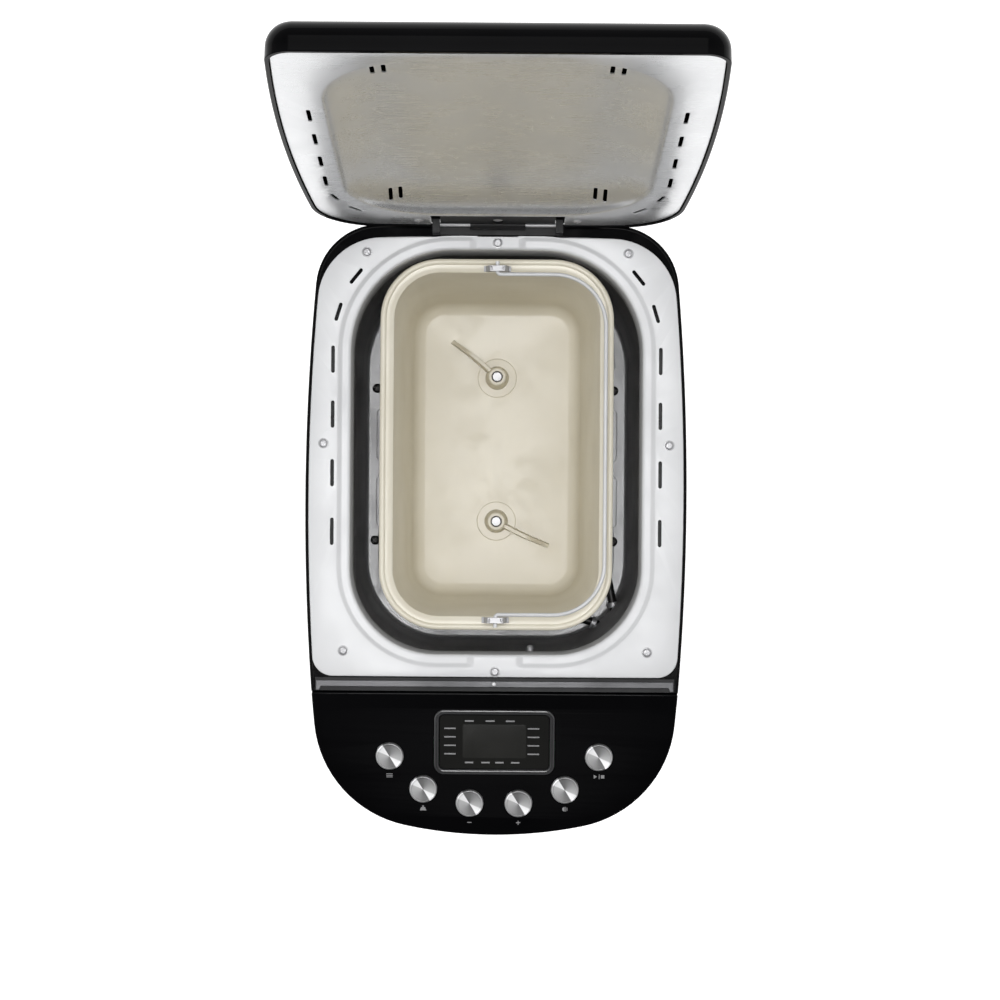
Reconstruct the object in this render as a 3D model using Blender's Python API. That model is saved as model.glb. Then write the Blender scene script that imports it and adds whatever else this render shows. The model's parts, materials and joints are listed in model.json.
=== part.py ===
"""Bread machine: a long, narrow casing with a deep oven chamber, a lift-out pan with two
kneading paddles, a control panel across the front and a lid hinged along the rear edge.

Metres, +Z up, front towards -Y. The origin lies on the floor, under the middle of the box that
the machine fills with its lid open. The lid is shown open, the pan seated and its handle folded
down to the right.
"""

import math
from collections import namedtuple

import bmesh
import bpy
from mathutils import Matrix, Vector

# ---------------------------------------------------------------- driving dimensions
CASING_WIDTH = 0.2644
CASING_LENGTH = 0.4260
DECK_HEIGHT = 0.2680
CASING_WALL = 0.0024
RIM_WIDTH = 0.0020
PLATE_THICKNESS = 0.0020
CASING_DRAFT = 0.0040
SIDE_BEND = 1.7360
REAR_BEND = 2.4000
FRONT_BEND = 0.3000
REAR_CORNER = 0.0450
FRONT_CORNER = 0.0800
WIDEST_BEHIND_FRONT = 0.2340

GAP = 0.0003
FOOT_HEIGHT = 0.0080
FOOT_RADIUS = 0.0110
TRAY_HEIGHT = 0.0060
TRAY_FLOOR = 0.0025
TRAY_LIP = 0.0100

DECK_SHEET = 0.0012
DECK_REAR_SETBACK = 0.0093
DECK_FRONT_SETBACK = 0.0106
DECK_SIDE_GAP = 0.0023
DECK_FRONT_CORNER = 0.0140
OPENING_WIDTH = 0.2024
OPENING_FRONT_SETBACK = 0.0154
OPENING_REAR_SETBACK = 0.0187
OPENING_REAR_CORNER = 0.0700
OPENING_FRONT_CORNER = 0.0600
LIP_DEPTH = 0.0360
STEP_OUTSET = 0.0076
STEP_HALF_WIDTH = 0.0008
STEP_DROP = 0.0008
TAB_HALF_WIDTH = 0.0180

DRIVE_SPACE = 0.0680
CHAMBER_SHEET = 0.0008
CHAMBER_FLANGE = 0.0030

PAN_WIDTH = 0.1634
PAN_LENGTH = 0.2593
PAN_SETBACK = 0.0237
PAN_CORNER = 0.0420
PAN_RIM_DROP = 0.0120
PAN_STAND = 0.0360
PAN_SHEET = 0.0016
PAN_RIM_WIDTH = 0.0095
PAN_TAPER = 0.0085
PAN_SKIRT_WALL = 0.0025
BAIL_RADIUS = 0.0014
BAIL_REACH = 0.0759
BAIL_CORNER = 0.0360
BAIL_RISE = 0.0026
BRACKET_WIDTH = 0.0190
BRACKET_DEPTH = 0.0040

SHAFT_RADIUS = 0.0040
SHAFT_SPACING = 0.1100
PADDLE_REACH = 0.0440
BIG_PULLEY_RADIUS = 0.0400
EVEN_PULLEY_RADIUS = 0.0300
MOTOR_PULLEY_RADIUS = 0.0080
BELT_WIDTH = 0.0070
BELT_THICKNESS = 0.0015
MOTOR_RADIUS = 0.0420
MOTOR_LENGTH = 0.0620
MOTOR_BEHIND_FRONT = 0.0560

PANEL_LENGTH = 0.1007
PANEL_SLOPE = math.radians(6.5)
PANEL_THICKNESS = 0.0030
BUTTON_RADIUS = 0.0094
BUTTON_TRAVEL = 0.0015
BUTTON_CLEARANCE = 0.0004
# Distance from the middle, and distance behind the front edge, of each left and right pair.
BUTTON_PAIRS = (
    ("menu", "start", 0.0727, 0.0557),
    ("weight", "crust", 0.0493, 0.0326),
    ("time_down", "time_up", 0.0170, 0.0228),
)
BEZEL_WIDTH = 0.0837
BEZEL_LENGTH = 0.0456
BEZEL_FRAME = 0.0035
BEZEL_RISE = 0.0012
BEZEL_CORNER = 0.0070
DISPLAY_BEHIND_FRONT = 0.0657

LID_FRONT_SETBACK = 0.0090
LID_HEIGHT = 0.0450
LID_FRONT_HEIGHT = 0.0200
LID_WALL = 0.0026
LID_SHUT_GAP = 0.0015
LID_FRONT_CORNER = 0.0160
LID_OPEN = math.radians(100)
HINGE_INSET = 0.0020
HINGE_RISE = 0.0030
PIN_RADIUS = 0.0015
HINGE_HALF_WIDTH = 0.0450
DISH_DEPTH = 0.0160
DISH_WIDTH = 0.2020
DISH_SETBACK = 0.0270
DISH_FRONT_MARGIN = 0.0170
DISH_CORNER = 0.0600
LINER_SHEET = 0.0008

SCREW_HEAD_RADIUS = 0.0036
SCREW_RADIUS = 0.0016
SLOT_WIDTH = 0.0025
SLOT_LENGTH = 0.0190

# ---------------------------------------------------------------- places worked out from them
HALF_WIDTH = CASING_WIDTH / 2
LID_LENGTH = CASING_LENGTH - PANEL_LENGTH - LID_FRONT_SETBACK


def lid_crown(from_rear):
    """Height of the lid's outer top above its lower edge: level at the rear, rounded down in front."""
    along = min(1.0, max(0.0, (LID_LENGTH - from_rear) / (0.6 * LID_LENGTH)))
    return LID_FRONT_HEIGHT + (LID_HEIGHT - LID_FRONT_HEIGHT) * math.sin(along * math.pi / 2)


def lid_reach():
    """How far the open lid reaches behind the casing."""
    steps = [LID_LENGTH * step / 40 for step in range(41)]
    rise = LID_SHUT_GAP - HINGE_RISE
    return max(
        (s - HINGE_INSET) * -math.cos(LID_OPEN) + (lid_crown(s) + rise) * math.sin(LID_OPEN) - HINGE_INSET
        for s in steps
    )


REAR = (CASING_LENGTH - lid_reach()) / 2
FRONT = REAR - CASING_LENGTH
WIDEST = FRONT + WIDEST_BEHIND_FRONT
PANEL_REAR = FRONT + PANEL_LENGTH
DECK_REAR = REAR - DECK_REAR_SETBACK
DECK_FRONT = PANEL_REAR + DECK_FRONT_SETBACK
DECK_TOP = DECK_HEIGHT - GAP
OPENING_REAR = REAR - OPENING_REAR_SETBACK
OPENING_FRONT = DECK_FRONT + OPENING_FRONT_SETBACK
TRAY_TOP = FOOT_HEIGHT + TRAY_HEIGHT
TRAY_FLOOR_TOP = FOOT_HEIGHT + TRAY_FLOOR
CASING_BOTTOM = TRAY_TOP + GAP
CHAMBER_FLOOR = DRIVE_SPACE
CHAMBER_FLOOR_TOP = CHAMBER_FLOOR + CHAMBER_SHEET
CHAMBER_OUTSET = DECK_SHEET + 2 * GAP
PLATE_TOP = DECK_TOP - DECK_SHEET - GAP
PAN_REAR = REAR - PAN_SETBACK
PAN_FRONT = PAN_REAR - PAN_LENGTH
PAN_MIDDLE = (PAN_REAR + PAN_FRONT) / 2
PAN_TOP = DECK_HEIGHT - PAN_RIM_DROP
PAN_BOTTOM = CHAMBER_FLOOR + PAN_STAND
BAIL_HEIGHT = PAN_TOP + BAIL_RISE
FRONT_SHAFT = PAN_MIDDLE - SHAFT_SPACING / 2
REAR_SHAFT = PAN_MIDDLE + SHAFT_SPACING / 2
MOTOR_PLACE = FRONT + MOTOR_BEHIND_FRONT
HINGE_PLACE = REAR - HINGE_INSET
HINGE_HEIGHT = DECK_HEIGHT + HINGE_RISE
LID_FRONT = REAR - LID_LENGTH
LID_BOTTOM = DECK_HEIGHT + LID_SHUT_GAP
LOW_BELT = 0.0190
HIGH_BELT = LOW_BELT + BELT_WIDTH + 0.0040
BRACKET_TOP = HIGH_BELT + BELT_WIDTH + 0.0060

Shape = namedtuple(
    "Shape", "half_width bend widest rear rear_bend rear_corner front front_bend front_corner stops"
)
STRAIGHT = 40.0
CASING = Shape(
    HALF_WIDTH, SIDE_BEND, WIDEST, REAR, REAR_BEND, REAR_CORNER, FRONT, FRONT_BEND, FRONT_CORNER,
    (PANEL_REAR - 0.0004, PANEL_REAR + 0.0004),
)
DECK = Shape(
    HALF_WIDTH - DECK_SIDE_GAP, SIDE_BEND - DECK_SIDE_GAP, WIDEST, DECK_REAR, REAR_BEND, REAR_CORNER,
    DECK_FRONT, STRAIGHT, DECK_FRONT_CORNER, (),
)
PANEL = Shape(
    HALF_WIDTH, SIDE_BEND, WIDEST, PANEL_REAR - GAP, STRAIGHT, 0.0015, FRONT, FRONT_BEND, FRONT_CORNER, ()
)
LID = Shape(
    HALF_WIDTH, SIDE_BEND, WIDEST, REAR, REAR_BEND, REAR_CORNER, LID_FRONT, STRAIGHT, LID_FRONT_CORNER, ()
)


def boxed(width, rear, front, rear_corner, front_corner):
    """A rounded rectangle, as a shape with all but straight sides."""
    middle = (rear + front) / 2
    return Shape(width / 2, STRAIGHT, middle, rear, STRAIGHT, rear_corner, front, STRAIGHT, front_corner, ())


OPENING = boxed(
    OPENING_WIDTH, OPENING_REAR, OPENING_FRONT, OPENING_REAR_CORNER, OPENING_FRONT_CORNER
)
PAN = boxed(PAN_WIDTH, PAN_REAR, PAN_FRONT, PAN_CORNER, PAN_CORNER)
DISH = boxed(
    DISH_WIDTH, REAR - DISH_SETBACK, LID_FRONT + DISH_FRONT_MARGIN, DISH_CORNER, DISH_CORNER
)

# ---------------------------------------------------------------- outlines
SIDE_STEPS = 6
CORNER_STEPS = 6
END_STEPS = 3


def fillet_centre(side, side_radius, end, end_radius, near):
    """The crossing of two circles that lies nearest to a point: the centre of a corner's fillet."""
    between = end - side
    distance = between.length
    along = (side_radius**2 - end_radius**2 + distance**2) / (2 * distance)
    across = math.sqrt(max(0.0, side_radius**2 - along**2))
    foot = side + between * (along / distance)
    square = Vector((-between.y, between.x)) * (across / distance)
    return min((foot + square, foot - square), key=lambda point: (point - near).length)


def arc(centre, radius, start, end, steps):
    """Points on a circle from one direction to another, both ends included."""
    first = math.atan2(*(start - centre).yx)
    turn = math.atan2(*(end - centre).yx) - first
    return [
        centre + Vector((math.cos(first + turn * i / steps), math.sin(first + turn * i / steps))) * radius
        for i in range(steps + 1)
    ]


def right_half(shape, inset):
    """The half outline at +X, from the middle of the front edge to the middle of the rear edge."""
    side = Vector((shape.half_width - shape.bend, shape.widest))
    side_radius = shape.bend - inset
    points = []
    for sign, edge, bend, corner in (
        (-1, shape.front, shape.front_bend, shape.front_corner - inset),
        (1, shape.rear, shape.rear_bend, shape.rear_corner - inset),
    ):
        end = Vector((0, edge - sign * bend))
        end_radius = bend - inset
        guess = Vector((shape.half_width, edge))
        centre = fillet_centre(side, side_radius - corner, end, end_radius - corner, guess)
        on_end = end + (centre - end).normalized() * end_radius
        on_side = side + (centre - side).normalized() * side_radius
        middle = end + Vector((0, sign * end_radius))
        run = arc(end, end_radius, middle, on_end, END_STEPS)
        run += arc(centre, corner, on_end, on_side, CORNER_STEPS)[1:]
        points.append(run if sign < 0 else run[::-1])
    low, high = points[0][-1].y, points[1][0].y
    levels = [low + (high - low) * i / SIDE_STEPS for i in range(1, SIDE_STEPS)]
    levels = sorted(levels + [stop for stop in shape.stops if low < stop < high])
    bowed = [
        Vector((side.x + math.sqrt(side_radius**2 - (level - side.y) ** 2), level)) for level in levels
    ]
    return points[0] + bowed + points[1]


def outline(shape, inset=0.0, share=1.0):
    """A closed outline seen from above, moved in by inset and then drawn together by a share."""
    half = right_half(shape, inset)
    middle = (half[0].y + half[-1].y) / 2
    half = [Vector((p.x * share, middle + (p.y - middle) * share)) for p in half]
    half[0].x = half[-1].x = 0.0
    return half + [Vector((-p.x, p.y)) for p in half[-2:0:-1]]


def at_height(points, height):
    """The outline in space, at one height or at a height worked out from each point's place."""
    level = height if callable(height) else lambda y: height
    return [Vector((p.x, p.y, level(p.y))) for p in points]


def side_at(shape, y, inset=0.0):
    """Half the width of a shape at a place along it."""
    reach = shape.bend - inset
    return shape.half_width - shape.bend + math.sqrt(reach**2 - (y - shape.widest) ** 2)


def stadium(length, width, steps=4):
    """A slot's outline about the origin, long in Y."""
    radius, straight = width / 2, (length - width) / 2
    turn = [math.pi * i / steps for i in range(steps + 1)]
    top = [Vector((radius * math.cos(a), straight + radius * math.sin(a))) for a in turn]
    return top + [-p for p in top]


def filleted(corners, steps=6):
    """A route in a plane through corners given as (x, y, radius), each rounded by its radius."""
    points = [Vector(corners[0][:2])]
    for before, here, after in zip(corners, corners[1:], corners[2:]):
        at = Vector(here[:2])
        back = (Vector(before[:2]) - at).normalized()
        ahead = (Vector(after[:2]) - at).normalized()
        half = back.angle(ahead) / 2
        centre = at + (back + ahead).normalized() * (here[2] / math.sin(half))
        start = at + back * (here[2] / math.tan(half))
        end = at + ahead * (here[2] / math.tan(half))
        first, last = start - centre, end - centre
        sweep = first.angle_signed(last)
        points += [centre + Matrix.Rotation(-sweep * i / steps, 2) @ first for i in range(steps + 1)]
    return points + [Vector(corners[-1][:2])]


# ---------------------------------------------------------------- making objects
FINISHES = {}


def finish(name, colour, roughness, metallic=0.0):
    """A plain material, made once."""
    if name not in FINISHES:
        material = bpy.data.materials.new(name)
        material.use_nodes = True
        shader = material.node_tree.nodes["Principled BSDF"]
        shader.inputs["Base Color"].default_value = (*colour, 1.0)
        shader.inputs["Roughness"].default_value = roughness
        shader.inputs["Metallic"].default_value = metallic
        material.diffuse_color = (*colour, 1.0)
        FINISHES[name] = material
    return FINISHES[name]


def gloss_black():
    return finish("gloss_black", (0.012, 0.012, 0.013), 0.12)


def satin_black():
    return finish("satin_black", (0.025, 0.025, 0.026), 0.45)


def bright_steel():
    return finish("bright_steel", (0.72, 0.72, 0.73), 0.28, 1.0)


def dark_coating():
    return finish("dark_coating", (0.10, 0.10, 0.11), 0.42, 0.6)


def cream_coating():
    return finish("cream_coating", (0.72, 0.68, 0.58), 0.35)


def zinc_steel():
    return finish("zinc_steel", (0.55, 0.55, 0.56), 0.35, 1.0)


def spun_aluminium():
    return finish("spun_aluminium", (0.78, 0.78, 0.79), 0.25, 1.0)


def smoked_window():
    return finish("smoked_window", (0.03, 0.032, 0.03), 0.10)


def circuit_green():
    return finish("circuit_green", (0.03, 0.16, 0.07), 0.5)


def black_rubber():
    return finish("black_rubber", (0.02, 0.02, 0.02), 0.85)


def dark_nylon():
    return finish("dark_nylon", (0.09, 0.09, 0.09), 0.5)


def add_object(name, data, material, place=(0, 0, 0), turn=(0, 0, 0), parent=None):
    """Links a mesh or a curve into the scene as a named piece."""
    piece = bpy.data.objects.new(name, data)
    bpy.context.scene.collection.objects.link(piece)
    piece.location = place
    piece.rotation_euler = turn
    piece.parent = parent
    if material:
        data.materials.append(material)
    return piece


def to_mesh(name, bm, smooth=True):
    """Finishes a bmesh as a mesh with faces outwards."""
    bmesh.ops.recalc_face_normals(bm, faces=bm.faces)
    if bm.calc_volume(signed=True) < 0:
        bmesh.ops.reverse_faces(bm, faces=bm.faces)
    mesh = bpy.data.meshes.new(name)
    bm.to_mesh(mesh)
    bm.free()
    if smooth:
        mesh.shade_smooth()
        mesh.set_sharp_from_angle(angle=math.radians(30))
    return mesh


def cap(bm, ring):
    """Closes a symmetric outline, with one face or with a ladder of faces where it isn't level."""
    count = len(ring)
    half = count // 2
    levels = [corner.co.z for corner in ring]
    if max(levels) - min(levels) < 0.000001:
        bm.faces.new(ring)
        return
    bm.faces.new((ring[0], ring[1], ring[count - 1]))
    for i in range(1, half - 1):
        bm.faces.new((ring[i], ring[i + 1], ring[count - i - 1], ring[count - i]))
    bm.faces.new((ring[half - 1], ring[half], ring[half + 1]))


def lofted(name, sections, material, endless=False, **where):
    """A solid whose surface runs through outlines in turn. Endless sections close on themselves."""
    bm = bmesh.new()
    rings = [[bm.verts.new(point) for point in section] for section in sections]
    pairs = list(zip(rings, rings[1:]))
    if endless:
        pairs.append((rings[-1], rings[0]))
    else:
        cap(bm, rings[0])
        cap(bm, rings[-1])
    for first, second in pairs:
        for i in range(len(first)):
            j = (i + 1) % len(first)
            bm.faces.new((first[i], first[j], second[j], second[i]))
    return add_object(name, to_mesh(name, bm), material, **where)


def turned(name, profile, material, endless=False, steps=24, **where):
    """A round piece: a profile of (radius, height), down its outer side, spun about its own Z."""
    bm = bmesh.new()
    points = [bm.verts.new((radius, 0, height)) for radius, height in profile]
    for first, second in zip(points, points[1:]):
        bm.edges.new((first, second))
    if endless:
        bm.edges.new((points[-1], points[0]))
    mesh = bpy.data.meshes.new(name)
    bm.to_mesh(mesh)
    bm.free()
    piece = add_object(name, mesh, material, **where)
    spin = piece.modifiers.new("spin", "SCREW")
    spin.axis = "Z"
    spin.steps = spin.render_steps = steps
    spin.use_merge_vertices = True
    spin.merge_threshold = 0.00001
    spin.use_smooth_shade = True
    return piece


def wire(name, route, radius, material, **where):
    """A round wire or tube along a route."""
    curve = bpy.data.curves.new(name, "CURVE")
    curve.dimensions = "3D"
    curve.bevel_depth = radius
    curve.bevel_resolution = 2
    curve.use_fill_caps = True
    spline = curve.splines.new("POLY")
    spline.points.add(len(route) - 1)
    for point, place in zip(spline.points, route):
        point.co = (*place, 1.0)
    return add_object(name, curve, material, **where)


def add_block(bm, low, high, matrix=None):
    """A rectangular block between two corners."""
    low, high = Vector(low), Vector(high)
    size = Matrix.Diagonal((*(high - low), 1.0))
    at = Matrix.Translation((low + high) / 2) @ size
    bmesh.ops.create_cube(bm, size=1.0, matrix=(matrix or Matrix()) @ at)


def add_drum(bm, middle, radius, length, axis="Z", steps=16):
    """A cylinder about a point, along one axis."""
    turn = {
        "Z": Matrix(),
        "Y": Matrix.Rotation(math.pi / 2, 4, "X"),
        "X": Matrix.Rotation(math.pi / 2, 4, "Y"),
    }[axis]
    bmesh.ops.create_cone(
        bm, cap_ends=True, segments=steps, radius1=radius, radius2=radius, depth=length,
        matrix=Matrix.Translation(middle) @ turn,
    )


def add_prism(bm, points, low, high, matrix=None):
    """An upright block with an outline of its own."""
    matrix = matrix or Matrix()
    bottom = [bm.verts.new(matrix @ Vector((p.x, p.y, low))) for p in points]
    top = [bm.verts.new(matrix @ Vector((p.x, p.y, high))) for p in points]
    bm.faces.new(bottom)
    bm.faces.new(top)
    for i in range(len(points)):
        j = (i + 1) % len(points)
        bm.faces.new((bottom[i], bottom[j], top[j], top[i]))


def block(name, low, high, material, **where):
    """A piece that is one rectangular block."""
    bm = bmesh.new()
    add_block(bm, low, high)
    return add_object(name, to_mesh(name, bm, smooth=False), material, **where)


def combine(piece, shapes, operation):
    """Adds shapes to a piece, or cuts them out of it. Shapes is a function that fills a bmesh."""
    bm = bmesh.new()
    shapes(bm)
    name = f"{piece.name}_{operation.lower()}_{len(piece.modifiers)}"
    tool = add_object(name, to_mesh(name, bm, smooth=False), None)
    tool.parent = piece.parent
    tool.location = piece.location
    tool.rotation_euler = piece.rotation_euler
    tool.hide_render = True
    tool.display_type = "WIRE"
    boolean = piece.modifiers.new(operation.lower(), "BOOLEAN")
    boolean.operation = operation
    boolean.object = tool
    return piece


def cut(piece, shapes):
    return combine(piece, shapes, "DIFFERENCE")


def weld(piece, shapes):
    return combine(piece, shapes, "UNION")


# ---------------------------------------------------------------- shared heights and places
def panel_height(y):
    """Height of the control panel's face."""
    return DECK_HEIGHT - GAP - (PANEL_REAR - y) * math.tan(PANEL_SLOPE)


def wall_top(y):
    """Height of the casing's rim, which drops under the control panel in front."""
    return DECK_HEIGHT if y > PANEL_REAR else panel_height(y) - PANEL_THICKNESS - GAP


def plate_top(y):
    """Height of the casing's top plate."""
    return PLATE_TOP if y > PANEL_REAR else wall_top(y) - 2 * GAP


def deck_screw_places():
    """The deck's screws: three pairs along its sides, then the middle of its front and rear."""
    along = (
        (0.0905, REAR - 0.0210),
        (0.1197, REAR - 0.1536),
        (0.1052, DECK_FRONT + 0.0177),
    )
    places = [(side * x, y) for x, y in along for side in (-1, 1)]
    return places + [(0.0, DECK_FRONT + 0.0037), (0.0, REAR - 0.0140)]


def slot_places(offset):
    """The vent slots along both sides, as (x, y, turn), a fixed distance inside the casing's edge."""
    places = []
    for back, more, tilt in (
        (0.0370, 0.0170, 50), (0.0616, 0.0060, 22), (0.0940, 0.0010, 3),
        (0.1325, 0.0, 0), (0.1730, 0.0, 0), (0.2140, 0.0, 0),
    ):
        y = REAR - back
        for side in (-1, 1):
            x = side * (side_at(CASING, y) - offset - more)
            places.append((x, y, math.radians(side * tilt)))
    return places


def add_slots(bm, offset, low, high):
    for x, y, tilt in slot_places(offset):
        matrix = Matrix.Translation((x, y, 0)) @ Matrix.Rotation(tilt, 4, "Z")
        add_prism(bm, stadium(SLOT_LENGTH, SLOT_WIDTH), low, high, matrix)


# ---------------------------------------------------------------- casing, tray, feet and deck
def make_casing():
    inner = CASING_WALL + CASING_DRAFT
    sections = [
        at_height(outline(CASING, RIM_WIDTH), plate_top),
        at_height(outline(CASING, RIM_WIDTH), wall_top),
        at_height(outline(CASING), wall_top),
        at_height(outline(CASING, CASING_DRAFT), CASING_BOTTOM),
        at_height(outline(CASING, inner), CASING_BOTTOM),
        at_height(outline(CASING, CASING_WALL), lambda y: plate_top(y) - PLATE_THICKNESS),
    ]
    casing = lofted("housing_shell", sections, gloss_black())
    cut(casing, casing_openings)


def casing_openings(bm):
    """Room for the oven, for the panel's works and for the hinge, the cord's hole and the vents."""
    for x, y in deck_screw_places()[:-1]:
        add_drum(bm, (x, y, PLATE_TOP), SCREW_RADIUS + GAP, 0.010, steps=12)
    high, low = DECK_HEIGHT + 0.01, DECK_HEIGHT - 0.03
    add_prism(bm, outline(OPENING, -STEP_OUTSET - 2 * STEP_HALF_WIDTH), low, high)
    works = boxed(0.176, PANEL_REAR - 0.005, FRONT + 0.010, 0.010, 0.045)
    add_prism(bm, outline(works), low, high)
    notch = HINGE_HALF_WIDTH + 0.001
    add_block(bm, (-notch, REAR - 0.006, PLATE_TOP), (notch, REAR + 0.005, high))
    x, y, z = gland_place()
    add_drum(bm, (x, y, z), GLAND_RADIUS + BUTTON_CLEARANCE, 0.02, "Y")
    for i in range(VENT_COUNT):
        x = -VENT_PITCH * (i + 1)
        add_block(bm, (x - 0.0015, REAR - 0.012, 0.060), (x + 0.0015, REAR + 0.005, 0.090))


def make_tray():
    lip = CASING_DRAFT + CASING_WALL + GAP
    sections = [
        at_height(outline(CASING, CASING_DRAFT + 0.002), FOOT_HEIGHT),
        at_height(outline(CASING, CASING_DRAFT), FOOT_HEIGHT + 0.002),
        at_height(outline(CASING, CASING_DRAFT), TRAY_TOP),
        at_height(outline(CASING, lip), TRAY_TOP),
        at_height(outline(CASING, lip), TRAY_TOP + TRAY_LIP),
        at_height(outline(CASING, lip + 0.002), TRAY_TOP + TRAY_LIP),
        at_height(outline(CASING, lip + 0.002), TRAY_FLOOR_TOP),
    ]
    lofted("base_tray", sections, satin_black())


def make_feet():
    top = FOOT_HEIGHT - GAP
    profile = [(0, top), (FOOT_RADIUS, top), (FOOT_RADIUS, 0.0015), (FOOT_RADIUS - 0.0015, 0), (0, 0)]
    for end, y, x in (("front", FRONT + 0.055, 0.085), ("rear", REAR - 0.040, 0.095)):
        for side, sign in (("left", -1), ("right", 1)):
            turned(f"foot_{end}_{side}", profile, black_rubber(), steps=16, place=(sign * x, y, 0))


def make_deck():
    bottom = DECK_TOP - DECK_SHEET
    wide, narrow = -STEP_OUTSET - STEP_HALF_WIDTH, -STEP_OUTSET + STEP_HALF_WIDTH
    step_top, step_bottom = DECK_TOP - STEP_DROP, bottom - STEP_DROP
    foot = DECK_TOP - LIP_DEPTH
    sections = [
        at_height(outline(DECK), bottom),
        at_height(outline(DECK), DECK_TOP),
        at_height(outline(OPENING, wide), DECK_TOP),
        at_height(outline(OPENING, narrow), step_top),
        at_height(outline(OPENING, -0.0010), step_top),
        at_height(outline(OPENING), step_top - 0.0010),
        at_height(outline(OPENING), foot),
        at_height(outline(OPENING, -DECK_SHEET), foot),
        at_height(outline(OPENING, -DECK_SHEET), step_bottom),
        at_height(outline(OPENING, narrow), step_bottom),
        at_height(outline(OPENING, wide), bottom),
    ]
    deck = lofted("deck_plate", sections, bright_steel(), endless=True)
    weld(deck, deck_tabs)
    cut(deck, deck_holes)


def deck_tabs(bm):
    """The middle of each end stays level with the plate, to take a screw."""
    low, reach = DECK_TOP - STEP_DROP - 0.0007, STEP_OUTSET + 0.0010
    for edge, sign in ((OPENING_REAR, 1), (OPENING_FRONT, -1)):
        near, far = sorted((edge + sign * 0.0011, edge + sign * reach))
        add_block(bm, (-TAB_HALF_WIDTH, near, low), (TAB_HALF_WIDTH, far, DECK_TOP))


def deck_holes(bm):
    add_slots(bm, 0.0180, DECK_TOP - 0.005, DECK_TOP + 0.005)
    add_screw_holes(bm)


def add_screw_holes(bm):
    """Clearance for the deck screws' shanks, through whatever lies under the deck."""
    for x, y in deck_screw_places():
        add_drum(bm, (x, y, DECK_TOP), SCREW_RADIUS + GAP, 0.016, steps=12)


def make_deck_screws():
    seat, head = DECK_TOP + 0.0001, SCREW_HEAD_RADIUS
    profile = [
        (0, seat + 0.0013), (head * 0.55, seat + 0.0012), (head, seat + 0.0005), (head, seat),
        (SCREW_RADIUS, seat), (SCREW_RADIUS, PLATE_TOP - 0.0030), (0, PLATE_TOP - 0.0035),
    ]
    for number, (x, y) in enumerate(deck_screw_places(), 1):
        turned(f"deck_screw_{number}", profile, zinc_steel(), steps=12, place=(x, y, 0))


def make_front_trim():
    rear, front = DECK_FRONT - 0.0008, PANEL_REAR + 0.0006
    reach = side_at(CASING, front) - RIM_WIDTH - 2 * GAP
    low, high = PLATE_TOP + GAP, DECK_TOP + 0.0002
    block("front_trim", (-reach, front, low), (reach, rear, high), satin_black())


# ---------------------------------------------------------------- oven
GLAND_RADIUS = 0.0070
VENT_COUNT = 8
VENT_PITCH = 0.0095
ELEMENT_RADIUS = 0.0033
ELEMENT_HEIGHT = CHAMBER_FLOOR_TOP + 0.0150
ELEMENT_INSET = 0.0150
PROBE_PLACE = (0.0250, OPENING_FRONT - CHAMBER_OUTSET, DECK_HEIGHT - LIP_DEPTH - 0.0100)
SPIGOT_RADIUS = 0.0080


def element_route():
    """The element's path seen from above. Both its ends leave through the front right corner."""
    x = OPENING_WIDTH / 2 + CHAMBER_OUTSET - ELEMENT_INSET
    rear, front = OPENING_REAR - ELEMENT_INSET, OPENING_FRONT + ELEMENT_INSET
    big_rear, big_front = OPENING_REAR_CORNER - ELEMENT_INSET, OPENING_FRONT_CORNER - ELEMENT_INSET
    (ax, ay), (bx, by) = element_ends()
    return filleted(
        [
            (ax, ay, 0), (x - 0.0040, front + 0.0460, 0.040), (x, rear, big_rear), (-x, rear, big_rear),
            (-x, front, big_front), (x - 0.0180, front, 0.030), (bx, by, 0),
        ]
    )


def element_ends():
    """Where the element's two ends stop, just outside the chamber's front right corner."""
    middle = Vector((OPENING_WIDTH / 2 - OPENING_FRONT_CORNER, OPENING_FRONT + OPENING_FRONT_CORNER))
    reach = OPENING_FRONT_CORNER + CHAMBER_OUTSET + CHAMBER_SHEET + 0.0030
    turns = (math.radians(-38.0), math.radians(-51.0))
    return [middle + Vector((math.cos(turn), math.sin(turn))) * reach for turn in turns]


def gland_place():
    """Where the mains cord would leave: low in the rear wall, towards the right."""
    height = 0.0400
    lean = CASING_DRAFT * (PLATE_TOP - height) / (PLATE_TOP - CASING_BOTTOM)
    x = 0.0700
    return x, REAR - lean - x**2 / (2 * REAR_BEND), height


def make_chamber():
    inner, outer = -CHAMBER_OUTSET, -CHAMBER_OUTSET - CHAMBER_SHEET
    top = DECK_TOP - DECK_SHEET - STEP_DROP - GAP
    corner = 0.0080
    sections = [
        at_height(outline(OPENING, inner + corner), CHAMBER_FLOOR_TOP),
        at_height(outline(OPENING, inner + corner * 0.3), CHAMBER_FLOOR_TOP + corner * 0.3),
        at_height(outline(OPENING, inner), CHAMBER_FLOOR_TOP + corner),
        at_height(outline(OPENING, inner), top),
        at_height(outline(OPENING, outer - CHAMBER_FLANGE), top),
        at_height(outline(OPENING, outer - CHAMBER_FLANGE), top - CHAMBER_SHEET),
        at_height(outline(OPENING, outer), top - CHAMBER_SHEET),
        at_height(outline(OPENING, outer), CHAMBER_FLOOR_TOP + corner),
        at_height(outline(OPENING, outer + corner * 0.3), CHAMBER_FLOOR + corner * 0.3),
        at_height(outline(OPENING, outer + corner), CHAMBER_FLOOR),
    ]
    chamber = lofted("oven_chamber", sections, dark_coating())
    cut(chamber, chamber_holes)


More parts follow.
